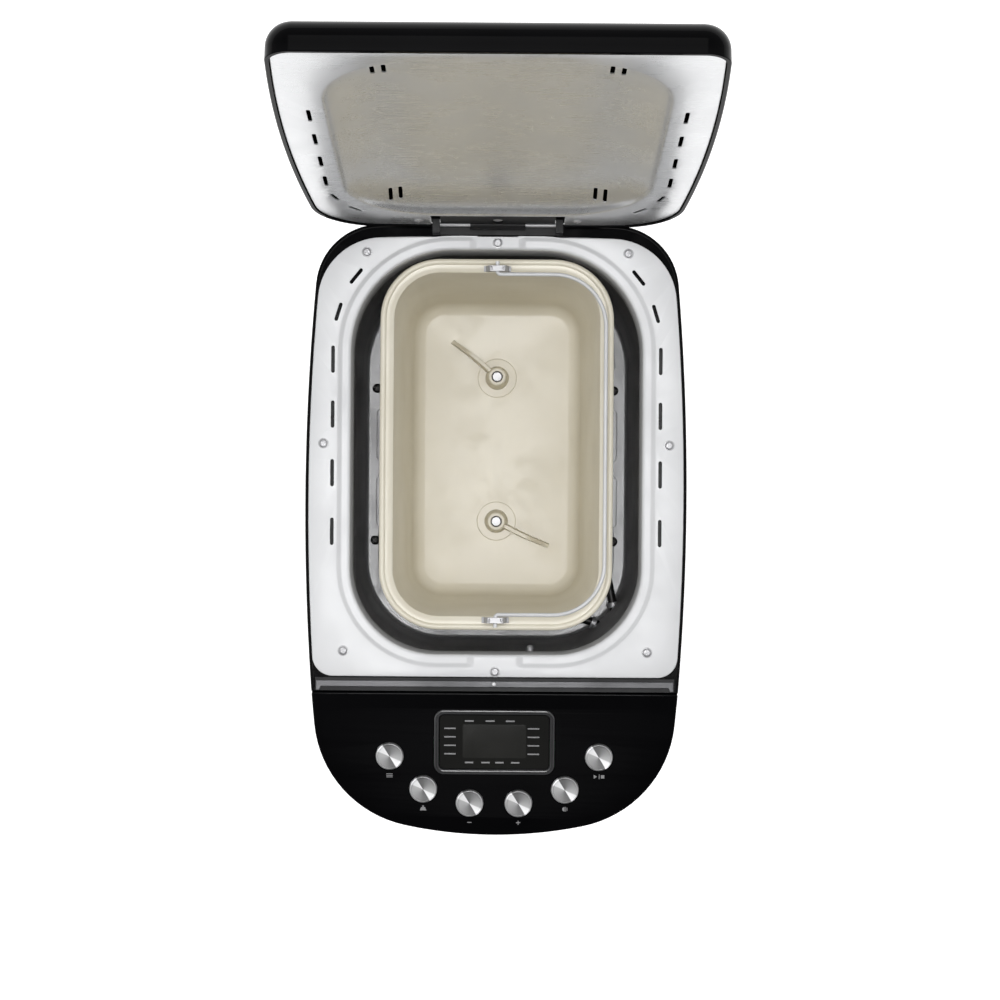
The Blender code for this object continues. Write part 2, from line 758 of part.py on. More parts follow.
def chamber_holes(bm):
    for y in (FRONT_SHAFT, REAR_SHAFT):
        add_drum(bm, (0, y, CHAMBER_FLOOR), SPIGOT_RADIUS + BUTTON_CLEARANCE, 0.01, steps=24)
    route = element_route()
    for end, before in ((route[0], route[1]), (route[-1], route[-2])):
        along = (end - before).to_3d().normalized()
        middle = end.to_3d() - along * 0.0045 + Vector((0, 0, ELEMENT_HEIGHT))
        matrix = Matrix.Translation(middle) @ along.to_track_quat("Z", "Y").to_matrix().to_4x4()
        bmesh.ops.create_cone(
            bm, cap_ends=True, segments=12, radius1=ELEMENT_RADIUS + BUTTON_CLEARANCE,
            radius2=ELEMENT_RADIUS + BUTTON_CLEARANCE, depth=0.0170, matrix=matrix,
        )
    add_drum(bm, PROBE_PLACE, 0.0029, 0.01, "Y", 12)
    for x, y in deck_screw_places()[-1:]:
        add_drum(bm, (x, y, PLATE_TOP), SCREW_RADIUS + GAP, 0.010, steps=12)


def make_element():
    route = [(p.x, p.y, ELEMENT_HEIGHT) for p in element_route()]
    wire("heating_element", route, ELEMENT_RADIUS, dark_nylon())


def make_probe():
    profile = [
        (0, 0.0060), (0.0018, 0.0060), (0.0025, 0.0050), (0.0025, -0.0022), (0.0055, -0.0022),
        (0.0055, -0.0040), (0.0025, -0.0040), (0.0025, -0.0100), (0, -0.0100),
    ]
    x, y, z = PROBE_PLACE
    turned(
        "temperature_probe", profile, zinc_steel(), steps=12, place=(x, y, z), turn=(-math.pi / 2, 0, 0)
    )


def make_clips():
    """Spring strips on the chamber's floor that grip the pan's skirt."""
    foot = CHAMBER_FLOOR_TOP + GAP
    near = SKIRT_WIDTH / 2 + 2 * GAP
    sheet = 0.0008
    run = [
        (near + 0.0170, foot), (near + 0.0015, foot), (near + 0.0015, foot + 0.0080),
        (near, foot + 0.0120), (near + 0.0045, foot + 0.0200),
    ]
    back = [(x + sheet, z + (sheet if i < 2 else 0)) for i, (x, z) in enumerate(run)]
    back[0] = (run[0][0], foot + sheet)
    profile = [Vector(p) for p in run + back[::-1]]
    upright = Matrix.Rotation(math.pi / 2, 4, "X")
    for side, sign in (("left", -1), ("right", 1)):
        bm = bmesh.new()
        add_prism(bm, profile, -0.012, 0.012, upright)
        if sign < 0:
            bmesh.ops.rotate(bm, verts=bm.verts, cent=(0, 0, 0), matrix=Matrix.Rotation(math.pi, 3, "Z"))
        name = f"pan_clip_{side}"
        add_object(name, to_mesh(name, bm, smooth=False), zinc_steel(), place=(0, PAN_MIDDLE, 0))


# ---------------------------------------------------------------- pan, handle and paddles
SKIRT_INSET = 0.0240
SKIRT_WIDTH = PAN_WIDTH - 2 * SKIRT_INSET


def make_pan():
    outer = PAN_RIM_WIDTH - PAN_SHEET
    foot = outer + PAN_TAPER
    sections = [
        at_height(outline(PAN, foot + 0.0040), PAN_BOTTOM),
        at_height(outline(PAN, foot), PAN_BOTTOM + 0.0035),
        at_height(outline(PAN, outer), PAN_TOP - 0.0055),
        at_height(outline(PAN, 0.0006), PAN_TOP - 0.0045),
        at_height(outline(PAN), PAN_TOP - 0.0020),
        at_height(outline(PAN, 0.0008), PAN_TOP),
        at_height(outline(PAN, 0.0040), PAN_TOP),
        at_height(outline(PAN, 0.0050), PAN_TOP - 0.0012),
        at_height(outline(PAN, PAN_RIM_WIDTH), PAN_TOP - 0.0018),
        at_height(outline(PAN, PAN_RIM_WIDTH + PAN_TAPER), PAN_BOTTOM + 0.0060),
        at_height(outline(PAN, PAN_RIM_WIDTH + PAN_TAPER + 0.0040), PAN_BOTTOM + 0.0020),
    ]
    pan = lofted("bread_pan", sections, cream_coating())
    cut(pan, lambda bm: [
        add_drum(bm, (0, y, PAN_BOTTOM), SHAFT_RADIUS + GAP, 0.02, steps=24)
        for y in (FRONT_SHAFT, REAR_SHAFT)
    ])


def make_skirt():
    """The collar under the pan, which the clips hold."""
    skirt = boxed(
        SKIRT_WIDTH, PAN_REAR - SKIRT_INSET, PAN_FRONT + SKIRT_INSET, 0.018, 0.018
    )
    top = PAN_BOTTOM - GAP
    low = CHAMBER_FLOOR_TOP + GAP
    sections = [
        at_height(outline(skirt), low),
        at_height(outline(skirt), top),
        at_height(outline(skirt, PAN_SKIRT_WALL), top),
        at_height(outline(skirt, PAN_SKIRT_WALL), low),
    ]
    lofted("pan_skirt", sections, zinc_steel(), endless=True)


def bail_pivots():
    """The rear and front handle brackets' places along Y, as (inner face, outer face)."""
    return (
        (PAN_REAR - 0.0091, PAN_REAR - 0.0091 + BRACKET_DEPTH),
        (PAN_FRONT + 0.0091, PAN_FRONT + 0.0091 - BRACKET_DEPTH),
    )


def make_bail():
    """The wire handle and its two brackets. The handle turns about a line along Y."""
    rear, front = bail_pivots()
    for name, (inner, outer) in (("handle_bracket_rear", rear), ("handle_bracket_front", front)):
        low, high = sorted((inner, outer))
        half = BRACKET_WIDTH / 2
        bracket = block(
            name, (-half, low, PAN_TOP - 0.0009), (half, high, BAIL_HEIGHT + 0.0030), zinc_steel()
        )
        cut(bracket, lambda bm, y=(low + high) / 2: add_drum(
            bm, (0, y, BAIL_HEIGHT), BAIL_RADIUS + GAP, 0.02, "Y", 12
        ))
    beside = BAIL_RADIUS + 0.0005
    rear_run, front_run = rear[0] - beside, front[0] + beside
    bend = 0.0022
    route = filleted(
        [
            (0, rear[1] + 0.0030, 0), (0, rear_run, bend), (BAIL_REACH, rear_run, BAIL_CORNER),
            (BAIL_REACH, front_run, BAIL_CORNER), (0, front_run, bend), (0, front[1] - 0.0030, 0),
        ]
    )
    route = [(p.x, p.y, 0) for p in route]
    wire("pan_handle", route, BAIL_RADIUS, bright_steel(), place=(0, 0, BAIL_HEIGHT))


def make_kneaders():
    """In each half of the pan: a shaft with a forked coupling below, and a paddle on top."""
    coupling = PAN_BOTTOM - 0.0130
    for end, y, sweep in (("front", FRONT_SHAFT, -0.5), ("rear", REAR_SHAFT, 2.4)):
        top = PAN_BOTTOM + 0.0220
        profile = [
            (0, top), (SHAFT_RADIUS, top), (SHAFT_RADIUS, coupling), (0.0145, coupling),
            (0.0145, coupling - 0.003), (0, coupling - 0.003),
        ]
        shaft = turned(f"kneading_shaft_{end}", profile, zinc_steel(), place=(0, y, 0))
        weld(shaft, lambda bm: [
            add_block(bm, (side * 0.012 - 0.0022, -0.004, coupling - 0.014),
                      (side * 0.012 + 0.0022, 0.004, coupling - 0.002))
            for side in (-1, 1)
        ])
        make_paddle(end, y, sweep)


def make_paddle(end, y, sweep):
    base = PAN_BOTTOM + 0.0026
    hub, bore = 0.0090, SHAFT_RADIUS + GAP
    top = base + 0.0200
    paddle = turned(
        f"kneading_paddle_{end}",
        [(bore, top), (hub - 0.002, top), (hub, base), (bore, base)],
        cream_coating(), endless=True, place=(0, y, 0), turn=(0, 0, sweep),
    )
    blade = [
        Vector((0.0070, base)), Vector((PADDLE_REACH - 0.004, base)), Vector((PADDLE_REACH, base + 0.005)),
        Vector((PADDLE_REACH - 0.006, base + 0.017)), Vector((0.0064, base + 0.0185)),
    ]
    upright = Matrix.Rotation(math.pi / 2, 4, "X")
    weld(paddle, lambda bm: add_prism(bm, blade, -0.0018, 0.0018, upright))


# ---------------------------------------------------------------- drive
def make_bearings():
    top = CHAMBER_FLOOR - GAP
    bore = SHAFT_RADIUS + GAP
    profile = [
        (SPIGOT_RADIUS, CHAMBER_FLOOR_TOP + 0.0022), (SPIGOT_RADIUS, top), (0.0200, top),
        (0.0200, top - 0.003), (0.0110, top - 0.003), (0.0110, HIGH_BELT + BELT_WIDTH + 0.004),
        (bore, HIGH_BELT + BELT_WIDTH + 0.004), (bore, CHAMBER_FLOOR_TOP + 0.0022),
    ]
    for end, y in (("front", FRONT_SHAFT), ("rear", REAR_SHAFT)):
        turned(f"drive_bearing_{end}", profile, dark_nylon(), endless=True, place=(0, y, 0))


def make_drive():
    """Each drive shaft carries a winged dog in the chamber and a belt pulley below the floor."""
    dog = CHAMBER_FLOOR_TOP + 0.0060
    low = LOW_BELT - 0.0030
    profile = [
        (0, dog + 0.0080), (0.0060, dog + 0.0080), (0.0060, dog - 0.002), (SHAFT_RADIUS, dog - 0.002),
        (SHAFT_RADIUS, low), (0, low),
    ]
    for end, y in (("front", FRONT_SHAFT), ("rear", REAR_SHAFT)):
        shaft = turned(f"drive_shaft_{end}", profile, zinc_steel(), place=(0, y, 0))
        weld(shaft, lambda bm: add_block(bm, (-0.003, -0.0135, dog), (0.003, 0.0135, dog + 0.0070)))
    bore, hub = SHAFT_RADIUS + GAP, 0.0090
    high_top, high_low = HIGH_BELT + BELT_WIDTH + 0.001, HIGH_BELT - 0.001
    low_low = LOW_BELT - 0.001
    turned(
        "drive_pulley_front",
        [
            (hub, high_top + 0.002), (hub, high_top), (EVEN_PULLEY_RADIUS, high_top),
            (EVEN_PULLEY_RADIUS, high_low - 0.001), (BIG_PULLEY_RADIUS, high_low - 0.001),
            (BIG_PULLEY_RADIUS, low_low), (bore, low_low), (bore, high_top + 0.002),
        ],
        dark_nylon(), endless=True, steps=32, place=(0, FRONT_SHAFT, 0),
    )
    turned(
        "drive_pulley_rear",
        [
            (hub, high_top + 0.002), (hub, high_top), (EVEN_PULLEY_RADIUS, high_top),
            (EVEN_PULLEY_RADIUS, high_low), (bore, high_low), (bore, high_top + 0.002),
        ],
        dark_nylon(), endless=True, steps=32, place=(0, REAR_SHAFT, 0),
    )


def make_motor():
    top = BRACKET_TOP + GAP + MOTOR_LENGTH
    bottom = BRACKET_TOP + GAP
    bore = 0.0030 + GAP
    profile = [
        (0, top), (MOTOR_RADIUS - 0.004, top), (MOTOR_RADIUS, top - 0.004), (MOTOR_RADIUS, bottom),
        (bore, bottom), (bore, bottom + 0.015), (0, bottom + 0.015),
    ]
    turned("motor", profile, zinc_steel(), steps=32, place=(0, MOTOR_PLACE, 0))
    shaft_top = bottom + 0.0140
    low = LOW_BELT - 0.001
    profile = [
        (0, shaft_top), (0.0030, shaft_top), (0.0030, LOW_BELT + BELT_WIDTH + 0.001),
        (MOTOR_PULLEY_RADIUS, LOW_BELT + BELT_WIDTH + 0.001), (MOTOR_PULLEY_RADIUS, low), (0, low),
    ]
    turned("motor_pulley", profile, dark_nylon(), place=(0, MOTOR_PLACE, 0))


def make_motor_bracket():
    """A folded channel that stands on the tray and carries the motor, open along Y for the belt."""
    half, sheet, foot = 0.0560, 0.0020, TRAY_FLOOR_TOP + GAP
    low, high = MOTOR_PLACE - 0.0400, MOTOR_PLACE + 0.0440
    profile = [
        (-half, foot), (-half, BRACKET_TOP), (half, BRACKET_TOP), (half, foot), (half - sheet, foot),
        (half - sheet, BRACKET_TOP - sheet), (sheet - half, BRACKET_TOP - sheet), (sheet - half, foot),
    ]
    bm = bmesh.new()
    add_prism(bm, [Vector(p) for p in profile], -high, -low, Matrix.Rotation(math.pi / 2, 4, "X"))
    mesh = to_mesh("motor_bracket", bm, smooth=False)
    bracket = add_object("motor_bracket", mesh, zinc_steel())
    cut(bracket, lambda tool: add_drum(tool, (0, MOTOR_PLACE, BRACKET_TOP), 0.0070, 0.02))


def belt(name, first, second, height):
    """A flat belt around two pulleys, each given as (y, radius)."""
    (y1, r1), (y2, r2) = first, second
    lean = math.asin((r2 - r1) / (y2 - y1))
    sections = []
    for outset, level in ((0, 0), (BELT_THICKNESS, 0), (BELT_THICKNESS, 1), (0, 1)):
        ring = []
        for y, radius, start, end in (
            (y1, r1, -math.pi / 2, -lean), (y2, r2, -lean, math.pi / 2),
        ):
            reach = radius + GAP + outset
            for i in range(13):
                angle = start + (end - start) * i / 12
                ring.append(Vector((reach * math.cos(angle), y + reach * math.sin(angle))))
        ring[0].x = ring[-1].x = 0.0
        ring += [Vector((-p.x, p.y)) for p in ring[-2:0:-1]]
        sections.append(at_height(ring, height + level * BELT_WIDTH))
    lofted(name, sections, black_rubber(), endless=True)


def make_belts():
    belt(
        "motor_belt", (MOTOR_PLACE, MOTOR_PULLEY_RADIUS), (FRONT_SHAFT, BIG_PULLEY_RADIUS), LOW_BELT
    )
    belt(
        "linking_belt", (FRONT_SHAFT, EVEN_PULLEY_RADIUS), (REAR_SHAFT, EVEN_PULLEY_RADIUS), HIGH_BELT
    )


# ---------------------------------------------------------------- control panel
def on_panel(x, y, rise=0.0):
    """A point on the panel's face, or raised from it."""
    normal = Vector((0, -math.sin(PANEL_SLOPE), math.cos(PANEL_SLOPE)))
    return Vector((x, y, panel_height(y))) + normal * rise


def make_panel():
    sections = [
        at_height(outline(PANEL), lambda y: panel_height(y) - PANEL_THICKNESS),
        at_height(outline(PANEL), panel_height),
    ]
    panel = lofted("control_panel", sections, gloss_black())
    cut(panel, panel_holes)


def tilted(x, y):
    """A frame on the panel whose Z is the panel's normal."""
    return Matrix.Translation(on_panel(x, y)) @ Matrix.Rotation(PANEL_SLOPE, 4, "X")


def panel_holes(bm):
    for _, _, x, back in BUTTON_PAIRS:
        for side in (-1, 1):
            frame = tilted(side * x, FRONT + back)
            ring = [
                Vector((math.cos(a), math.sin(a))) * (BUTTON_RADIUS + BUTTON_CLEARANCE)
                for a in (2 * math.pi * i / 24 for i in range(24))
            ]
            add_prism(bm, ring, -0.01, 0.01, frame)
    frame = tilted(0, FRONT + DISPLAY_BEHIND_FRONT)
    add_prism(bm, window_outline(-BUTTON_CLEARANCE), -0.01, 0.01, frame)


def window_outline(inset):
    """The display bezel's outline about its own middle, moved in by inset."""
    half = BEZEL_LENGTH / 2
    return outline(boxed(BEZEL_WIDTH, half, -half, BEZEL_CORNER, BEZEL_CORNER), inset)


def make_display():
    where = dict(place=on_panel(0, FRONT + DISPLAY_BEHIND_FRONT), turn=(PANEL_SLOPE, 0, 0))
    inner = BEZEL_FRAME
    foot = -PANEL_THICKNESS - 0.0010
    sections = [
        at_height(window_outline(0), foot),
        at_height(window_outline(0), BEZEL_RISE - 0.0008),
        at_height(window_outline(0.0010), BEZEL_RISE),
        at_height(window_outline(inner - 0.0008), BEZEL_RISE),
        at_height(window_outline(inner), -0.0006),
        at_height(window_outline(inner), foot),
    ]
    lofted("display_bezel", sections, satin_black(), endless=True, **where)
    lens = window_outline(inner + GAP)
    sections = [at_height(lens, -0.0024), at_height(lens, -0.0008)]
    lofted("display_window", sections, smoked_window(), **where)
    block("display_module", (-0.030, -0.017, -0.0110), (0.030, 0.017, -0.0030), satin_black(), **where)


def make_control_board():
    """The board that carries the six switches, fixed under the panel and level with it."""
    y = FRONT + 0.0440
    board = block(
        "control_board", (-0.084, -0.026, -0.0180), (0.084, 0.020, -0.0164), circuit_green(),
        place=on_panel(0, y), turn=(PANEL_SLOPE, 0, 0),
    )
    weld(board, lambda bm: add_block(bm, (-0.012, 0.0, -0.0170), (0.012, 0.012, -0.0130)))


def make_buttons():
    """Sprung caps with a turned face, held below the panel by a flange."""
    top = 0.0026
    flange = -PANEL_THICKNESS - GAP
    profile = [
        (0, top - 0.0005), (BUTTON_RADIUS - 0.0016, top - 0.0005), (BUTTON_RADIUS - 0.0012, top),
        (BUTTON_RADIUS - 0.0004, top), (BUTTON_RADIUS, top - 0.0005), (BUTTON_RADIUS, flange),
        (BUTTON_RADIUS + 0.0014, flange), (BUTTON_RADIUS + 0.0014, flange - 0.0012),
        (0.0030, flange - 0.0012), (0.0030, -0.0140), (0, -0.0140),
    ]
    for left, right, x, back in BUTTON_PAIRS:
        for name, side in ((left, -1), (right, 1)):
            turned(
                f"button_{name}", profile, spun_aluminium(),
                place=on_panel(side * x, FRONT + back), turn=(PANEL_SLOPE, 0, 0),
            )


def make_power_board():
    """The mains board, upright beside the motor."""
    foot = TRAY_FLOOR_TOP + GAP
    x, low, high = -0.0800, MOTOR_PLACE - 0.0150, MOTOR_PLACE + 0.0420
    board = block("power_board", (x, low, foot), (x + 0.0016, high, foot + 0.0800), circuit_green())
    weld(board, lambda bm: add_block(
        bm, (x - 0.020, low + 0.010, foot + 0.020), (x + 0.0008, low + 0.038, foot + 0.050)
    ))


# ---------------------------------------------------------------- cord gland, hinge and lid
def make_gland():
    x, y, z = gland_place()
    bore = 0.0036
    profile = [
        (bore + 0.0016, 0.0150), (0.0070, 0.0040), (0.0110, 0.0036), (0.0110, 0.0008),
        (GLAND_RADIUS, 0.0006), (GLAND_RADIUS, -0.0080), (bore, -0.0080), (bore, 0.0150),
    ]
    turned(
        "cord_gland", profile, black_rubber(), endless=True, steps=20, place=(x, y, z),
        turn=(-math.pi / 2, 0, 0),
    )


EAR_WIDTH = 0.0050
KNUCKLE_HALF = 0.0190
KNUCKLE_RADIUS = 0.0034


def make_hinge():
    """The bracket on the casing and its pin."""
    low = PLATE_TOP + GAP
    outer, inner = HINGE_HALF_WIDTH, HINGE_HALF_WIDTH - EAR_WIDTH
    front = HINGE_PLACE - 0.0065
    bracket = block(
        "hinge_bracket", (-outer, front, low), (outer, HINGE_PLACE + 0.001, low + 0.0008), satin_black()
    )
    weld(bracket, lambda bm: [
        add_block(bm, (side * (outer + inner) / 2 - EAR_WIDTH / 2, front + 0.0007, low + 0.0004),
                  (side * (outer + inner) / 2 + EAR_WIDTH / 2, HINGE_PLACE + 0.0035, HINGE_HEIGHT + 0.0035))
        for side in (-1, 1)
    ])
    cut(bracket, lambda bm: add_drum(
        bm, (0, HINGE_PLACE, HINGE_HEIGHT), PIN_RADIUS + GAP, 0.2, "X", 12
    ))
    profile = [(0, outer), (PIN_RADIUS, outer), (PIN_RADIUS, -outer), (0, -outer)]
    turned(
        "hinge_pin", profile, zinc_steel(), steps=12, place=(0, HINGE_PLACE, HINGE_HEIGHT),
        turn=(0, math.pi / 2, 0),
    )


def make_lid_axis():
    """An empty on the hinge's pin that carries the lid, turned back by the opening angle."""
    axis = bpy.data.objects.new("lid_axis", None)
    bpy.context.scene.collection.objects.link(axis)
    axis.location = (0, HINGE_PLACE, HINGE_HEIGHT)
    axis.rotation_euler = (-LID_OPEN, 0, 0)
    return axis


def shut(sections):
    """Moves sections drawn around the closed lid into the lid axis's own frame."""
    offset = Vector((0, HINGE_PLACE, HINGE_HEIGHT))
    return [[point - offset for point in section] for section in sections]


def make_lid_shell(axis):
    def crown(drop):
        return lambda y: LID_BOTTOM + lid_crown(REAR - y) - drop

    wall, deep = LID_WALL, 0.0140
    sections = [
        at_height(outline(LID, deep, 0.34), crown(0)),
        at_height(outline(LID, deep, 0.70), crown(0)),
        at_height(outline(LID, deep), crown(0.0008)),
        at_height(outline(LID, 0.0045), crown(0.0040)),
        at_height(outline(LID, 0.0008), crown(0.0095)),
        at_height(outline(LID), crown(0.0150)),
        at_height(outline(LID), LID_BOTTOM),
        at_height(outline(LID, wall), LID_BOTTOM),
        at_height(outline(LID, wall), crown(0.0155)),
        at_height(outline(LID, 0.0070), crown(0.0070)),
        at_height(outline(LID, deep + 0.0010), crown(0.0034)),
        at_height(outline(LID, deep, 0.70), crown(wall)),
        at_height(outline(LID, deep, 0.34), crown(wall)),
    ]
    shell = lofted("lid_shell", shut(sections), gloss_black(), parent=axis)
    cut(shell, lid_notch)


def lid_notch(bm):
    """Room for the hinge in the lid's rear wall."""
    half = HINGE_HALF_WIDTH + 0.0015
    add_block(bm, (-half, -0.0080, -0.010), (half, 0.010, 0.0085))


def make_lid_liner(axis):
    flat, deep = LID_BOTTOM + 0.0008, LID_BOTTOM + DISH_DEPTH
    edge = LID_WALL + 2 * GAP
    slope = 0.0100
    sections = [
        at_height(outline(DISH, slope), deep),
        at_height(outline(DISH, slope * 0.75), deep - 0.0010),
        at_height(outline(DISH), flat),
        at_height(outline(LID, edge), flat),
        at_height(outline(LID, edge), flat + LINER_SHEET),
        at_height(outline(DISH, -LINER_SHEET), flat + LINER_SHEET),
        at_height(outline(DISH, slope * 0.75 - LINER_SHEET), deep - 0.0010 + LINER_SHEET),
        at_height(outline(DISH, slope - 0.0004), deep + LINER_SHEET),
    ]
    liner = lofted("lid_liner", shut(sections), bright_steel(), parent=axis)

    def holes(bm):
        half = HINGE_HALF_WIDTH + 0.0010
        add_block(bm, (-half, -0.0215, -0.010), (half, 0.010, 0.010))
        to_axis = Matrix.Translation((0, -HINGE_PLACE, -HINGE_HEIGHT))
        for x, y, tilt in slot_places(0.0200):
            matrix = to_axis @ Matrix.Translation((x, y, flat)) @ Matrix.Rotation(tilt, 4, "Z")
            add_prism(bm, stadium(SLOT_LENGTH, SLOT_WIDTH), -0.006, 0.006, matrix)

    cut(liner, holes)


LID_SCREW_PLACE = -0.0110


def make_lid_leaf(axis):
    """The leaf screwed into the lid, whose knuckle turns on the pin."""
    low = LID_BOTTOM + 0.0008 - HINGE_HEIGHT
    half = HINGE_HALF_WIDTH - EAR_WIDTH - 0.0005
    leaf = block(
        "lid_hinge_leaf", (-half, -0.0208, low), (half, -0.0052, low + 0.0030), satin_black(), parent=axis
    )

    def knuckle(bm):
        add_block(bm, (-KNUCKLE_HALF, -0.0060, low), (KNUCKLE_HALF, 0.0, low + 0.0030))

    weld(leaf, knuckle)
    weld(leaf, lambda bm: add_drum(bm, (0, 0, 0), KNUCKLE_RADIUS, 2 * KNUCKLE_HALF, "X"))
    cut(leaf, lambda bm: add_drum(bm, (0, 0, 0), PIN_RADIUS + GAP, 0.2, "X", 12))
    cut(leaf, lambda bm: add_drum(bm, (0, LID_SCREW_PLACE, low), SCREW_HEAD_RADIUS + 0.0004, 0.004))


def make_lid_screw(axis):
    """The screw that holds the hinge's leaf, sunk into it."""
    head = SCREW_HEAD_RADIUS
    profile = [(0, 0.0017), (head, 0.0017), (head, 0.0008), (0.0022, 0.0003), (0, 0.0003)]
    turned(
        "lid_screw", profile, zinc_steel(), steps=12,
        place=(0, LID_SCREW_PLACE, LID_BOTTOM + 0.0008 - HINGE_HEIGHT), parent=axis,
    )


def main():
    for old in list(bpy.data.objects):
        bpy.data.objects.remove(old, do_unlink=True)
    make_casing()
    make_tray()
    make_feet()
    make_deck()
    make_deck_screws()
    make_front_trim()
    make_chamber()
    make_element()
    make_probe()
    make_clips()
    make_pan()
    make_skirt()
    make_bail()
    make_kneaders()
    make_bearings()
    make_drive()
    make_motor()
    make_motor_bracket()
    make_belts()
    make_panel()
    make_display()
    make_control_board()
    make_buttons()
    make_power_board()
    make_gland()
    make_hinge()
    axis = make_lid_axis()
    make_lid_shell(axis)
    make_lid_liner(axis)
    make_lid_leaf(axis)
    make_lid_screw(axis)


if __name__ == "__main__":
    main()
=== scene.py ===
import json
import math
from collections import namedtuple

import bmesh
import bpy
from mathutils import Matrix, Vector

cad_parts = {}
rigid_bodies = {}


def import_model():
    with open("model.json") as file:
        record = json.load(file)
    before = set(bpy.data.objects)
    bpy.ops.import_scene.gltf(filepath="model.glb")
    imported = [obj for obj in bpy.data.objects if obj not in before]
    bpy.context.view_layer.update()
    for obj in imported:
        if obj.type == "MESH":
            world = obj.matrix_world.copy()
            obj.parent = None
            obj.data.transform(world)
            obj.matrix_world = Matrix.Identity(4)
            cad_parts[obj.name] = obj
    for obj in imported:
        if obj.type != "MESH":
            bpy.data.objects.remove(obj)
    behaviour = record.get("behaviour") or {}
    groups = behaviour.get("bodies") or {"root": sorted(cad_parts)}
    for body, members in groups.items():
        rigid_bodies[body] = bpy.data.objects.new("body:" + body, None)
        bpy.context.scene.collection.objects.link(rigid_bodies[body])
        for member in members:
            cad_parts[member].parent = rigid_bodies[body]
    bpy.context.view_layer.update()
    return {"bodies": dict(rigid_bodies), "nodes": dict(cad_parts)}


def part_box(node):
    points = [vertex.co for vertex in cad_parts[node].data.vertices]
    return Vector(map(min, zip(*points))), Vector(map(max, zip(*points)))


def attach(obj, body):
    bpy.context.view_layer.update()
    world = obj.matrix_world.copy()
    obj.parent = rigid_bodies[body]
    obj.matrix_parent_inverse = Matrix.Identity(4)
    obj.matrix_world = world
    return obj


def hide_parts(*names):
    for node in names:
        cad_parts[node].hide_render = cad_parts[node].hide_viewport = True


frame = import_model()

bl_info = {
    "name": "Bread machine",
    "version": (1, 0, 0),
    "blender": (4, 5, 0),
    "location": "3D View > Sidebar > Bread machine",
    "description": "Builds a long bread machine with its lid open, around a packed frame",
    "category": "Add Mesh",
}

# ---------------------------------------------------------------- places taken from the frame
SHELL_LOW, SHELL_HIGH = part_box("housing_shell")
PLATE_LOW, PLATE_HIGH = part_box("deck_plate")
PAN_LOW, PAN_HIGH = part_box("bread_pan")
HALF_WIDTH = SHELL_HIGH[0]
FRONT, REAR = SHELL_LOW[1], SHELL_HIGH[1]
DECK_HEIGHT = SHELL_HIGH[2]
CASING_BOTTOM = SHELL_LOW[2]
DECK_FRONT, DECK_REAR, DECK_TOP = PLATE_LOW[1], PLATE_HIGH[1], PLATE_HIGH[2]
LIP_FOOT = PLATE_LOW[2]
PAN_FRONT, PAN_REAR = PAN_LOW[1], PAN_HIGH[1]
PAN_BOTTOM, PAN_TOP = PAN_LOW[2], PAN_HIGH[2]
PAN_WIDTH = PAN_HIGH[0] - PAN_LOW[0]
PAN_MIDDLE = (PAN_REAR + PAN_FRONT) / 2
WIDEST = FRONT + 0.2340
PANEL_REAR = FRONT + 0.1007
PANEL_SLOPE = math.radians(6.5)
PANEL_THICKNESS = 0.0030
GAP = 0.0003
CHAMBER_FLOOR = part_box("oven_chamber")[0][2]
CHAMBER_FLOOR_TOP = CHAMBER_FLOOR + 0.0008
PLATE_TOP = DECK_TOP - 0.0015
OPENING_REAR, OPENING_FRONT = REAR - 0.0187, DECK_FRONT + 0.0154
OPENING_WIDTH = 0.2024
CHAMBER_OUTSET = 0.0018
LIP_SHEET = 0.0012
STEP_OUTSET = 0.0076
TAB_HALF_WIDTH = 0.0180
FINE_ENDS = 96  # points across each end of the deck, close enough together to round the tabs
SLOT_WIDTH, LONG_SLOT, SHORT_SLOT = 0.0026, 0.0190, 0.0132
# The side slots: how far each is from the rear, how much further in it lies, and its tilt in degrees.
SIDE_SLOTS = (
    (0.0376, 0.0095, 39), (0.0624, -0.0006, 17), (0.0953, -0.0020, 0),
    (0.1333, -0.0003, 0), (0.1739, 0.0005, 0), (0.2145, 0.0005, 0),
)
FLOOR_SCREWS = (
    (-0.0944, 0.0721), (0.0918, 0.0713), (-0.0953, -0.0473), (0.0918, -0.0473),
    (-0.0240, -0.1060), (0.0200, -0.1060),
)
RIM_WIDTH = 0.0020
FOOT_HEIGHT = 0.0080
TRAY_TOP = CASING_BOTTOM - GAP
FRONT_SHAFT, REAR_SHAFT = PAN_MIDDLE - 0.0550, PAN_MIDDLE + 0.0550
BAIL_HEIGHT = PAN_TOP + 0.0026
HINGE_PLACE, HINGE_HEIGHT = REAR - 0.0020, DECK_HEIGHT + 0.0030
LID_LENGTH = 0.3163
LID_FRONT = REAR - LID_LENGTH
LID_BOTTOM = DECK_HEIGHT + 0.0015
LID_OPEN = math.radians(100)
DISPLAY_PLACE = FRONT + 0.0657
BEZEL_WIDTH, BEZEL_LENGTH, BEZEL_CORNER, BEZEL_FRAME = 0.0837, 0.0456, 0.0070, 0.0035
KEYS = (
    ("menu", "start", 0.0727, 0.0557),
    ("weight", "crust", 0.0493, 0.0326),
    ("time_down", "time_up", 0.0170, 0.0228),
)

Shape = namedtuple(
    "Shape", "half_width bend widest rear rear_bend rear_corner front front_bend front_corner stops"
)
STRAIGHT = 40.0


def boxed(width, rear, front, rear_corner, front_corner):
    """A rounded rectangle, as a shape with all but straight sides."""
    middle = (rear + front) / 2
    return Shape(width / 2, STRAIGHT, middle, rear, STRAIGHT, rear_corner, front, STRAIGHT, front_corner, ())


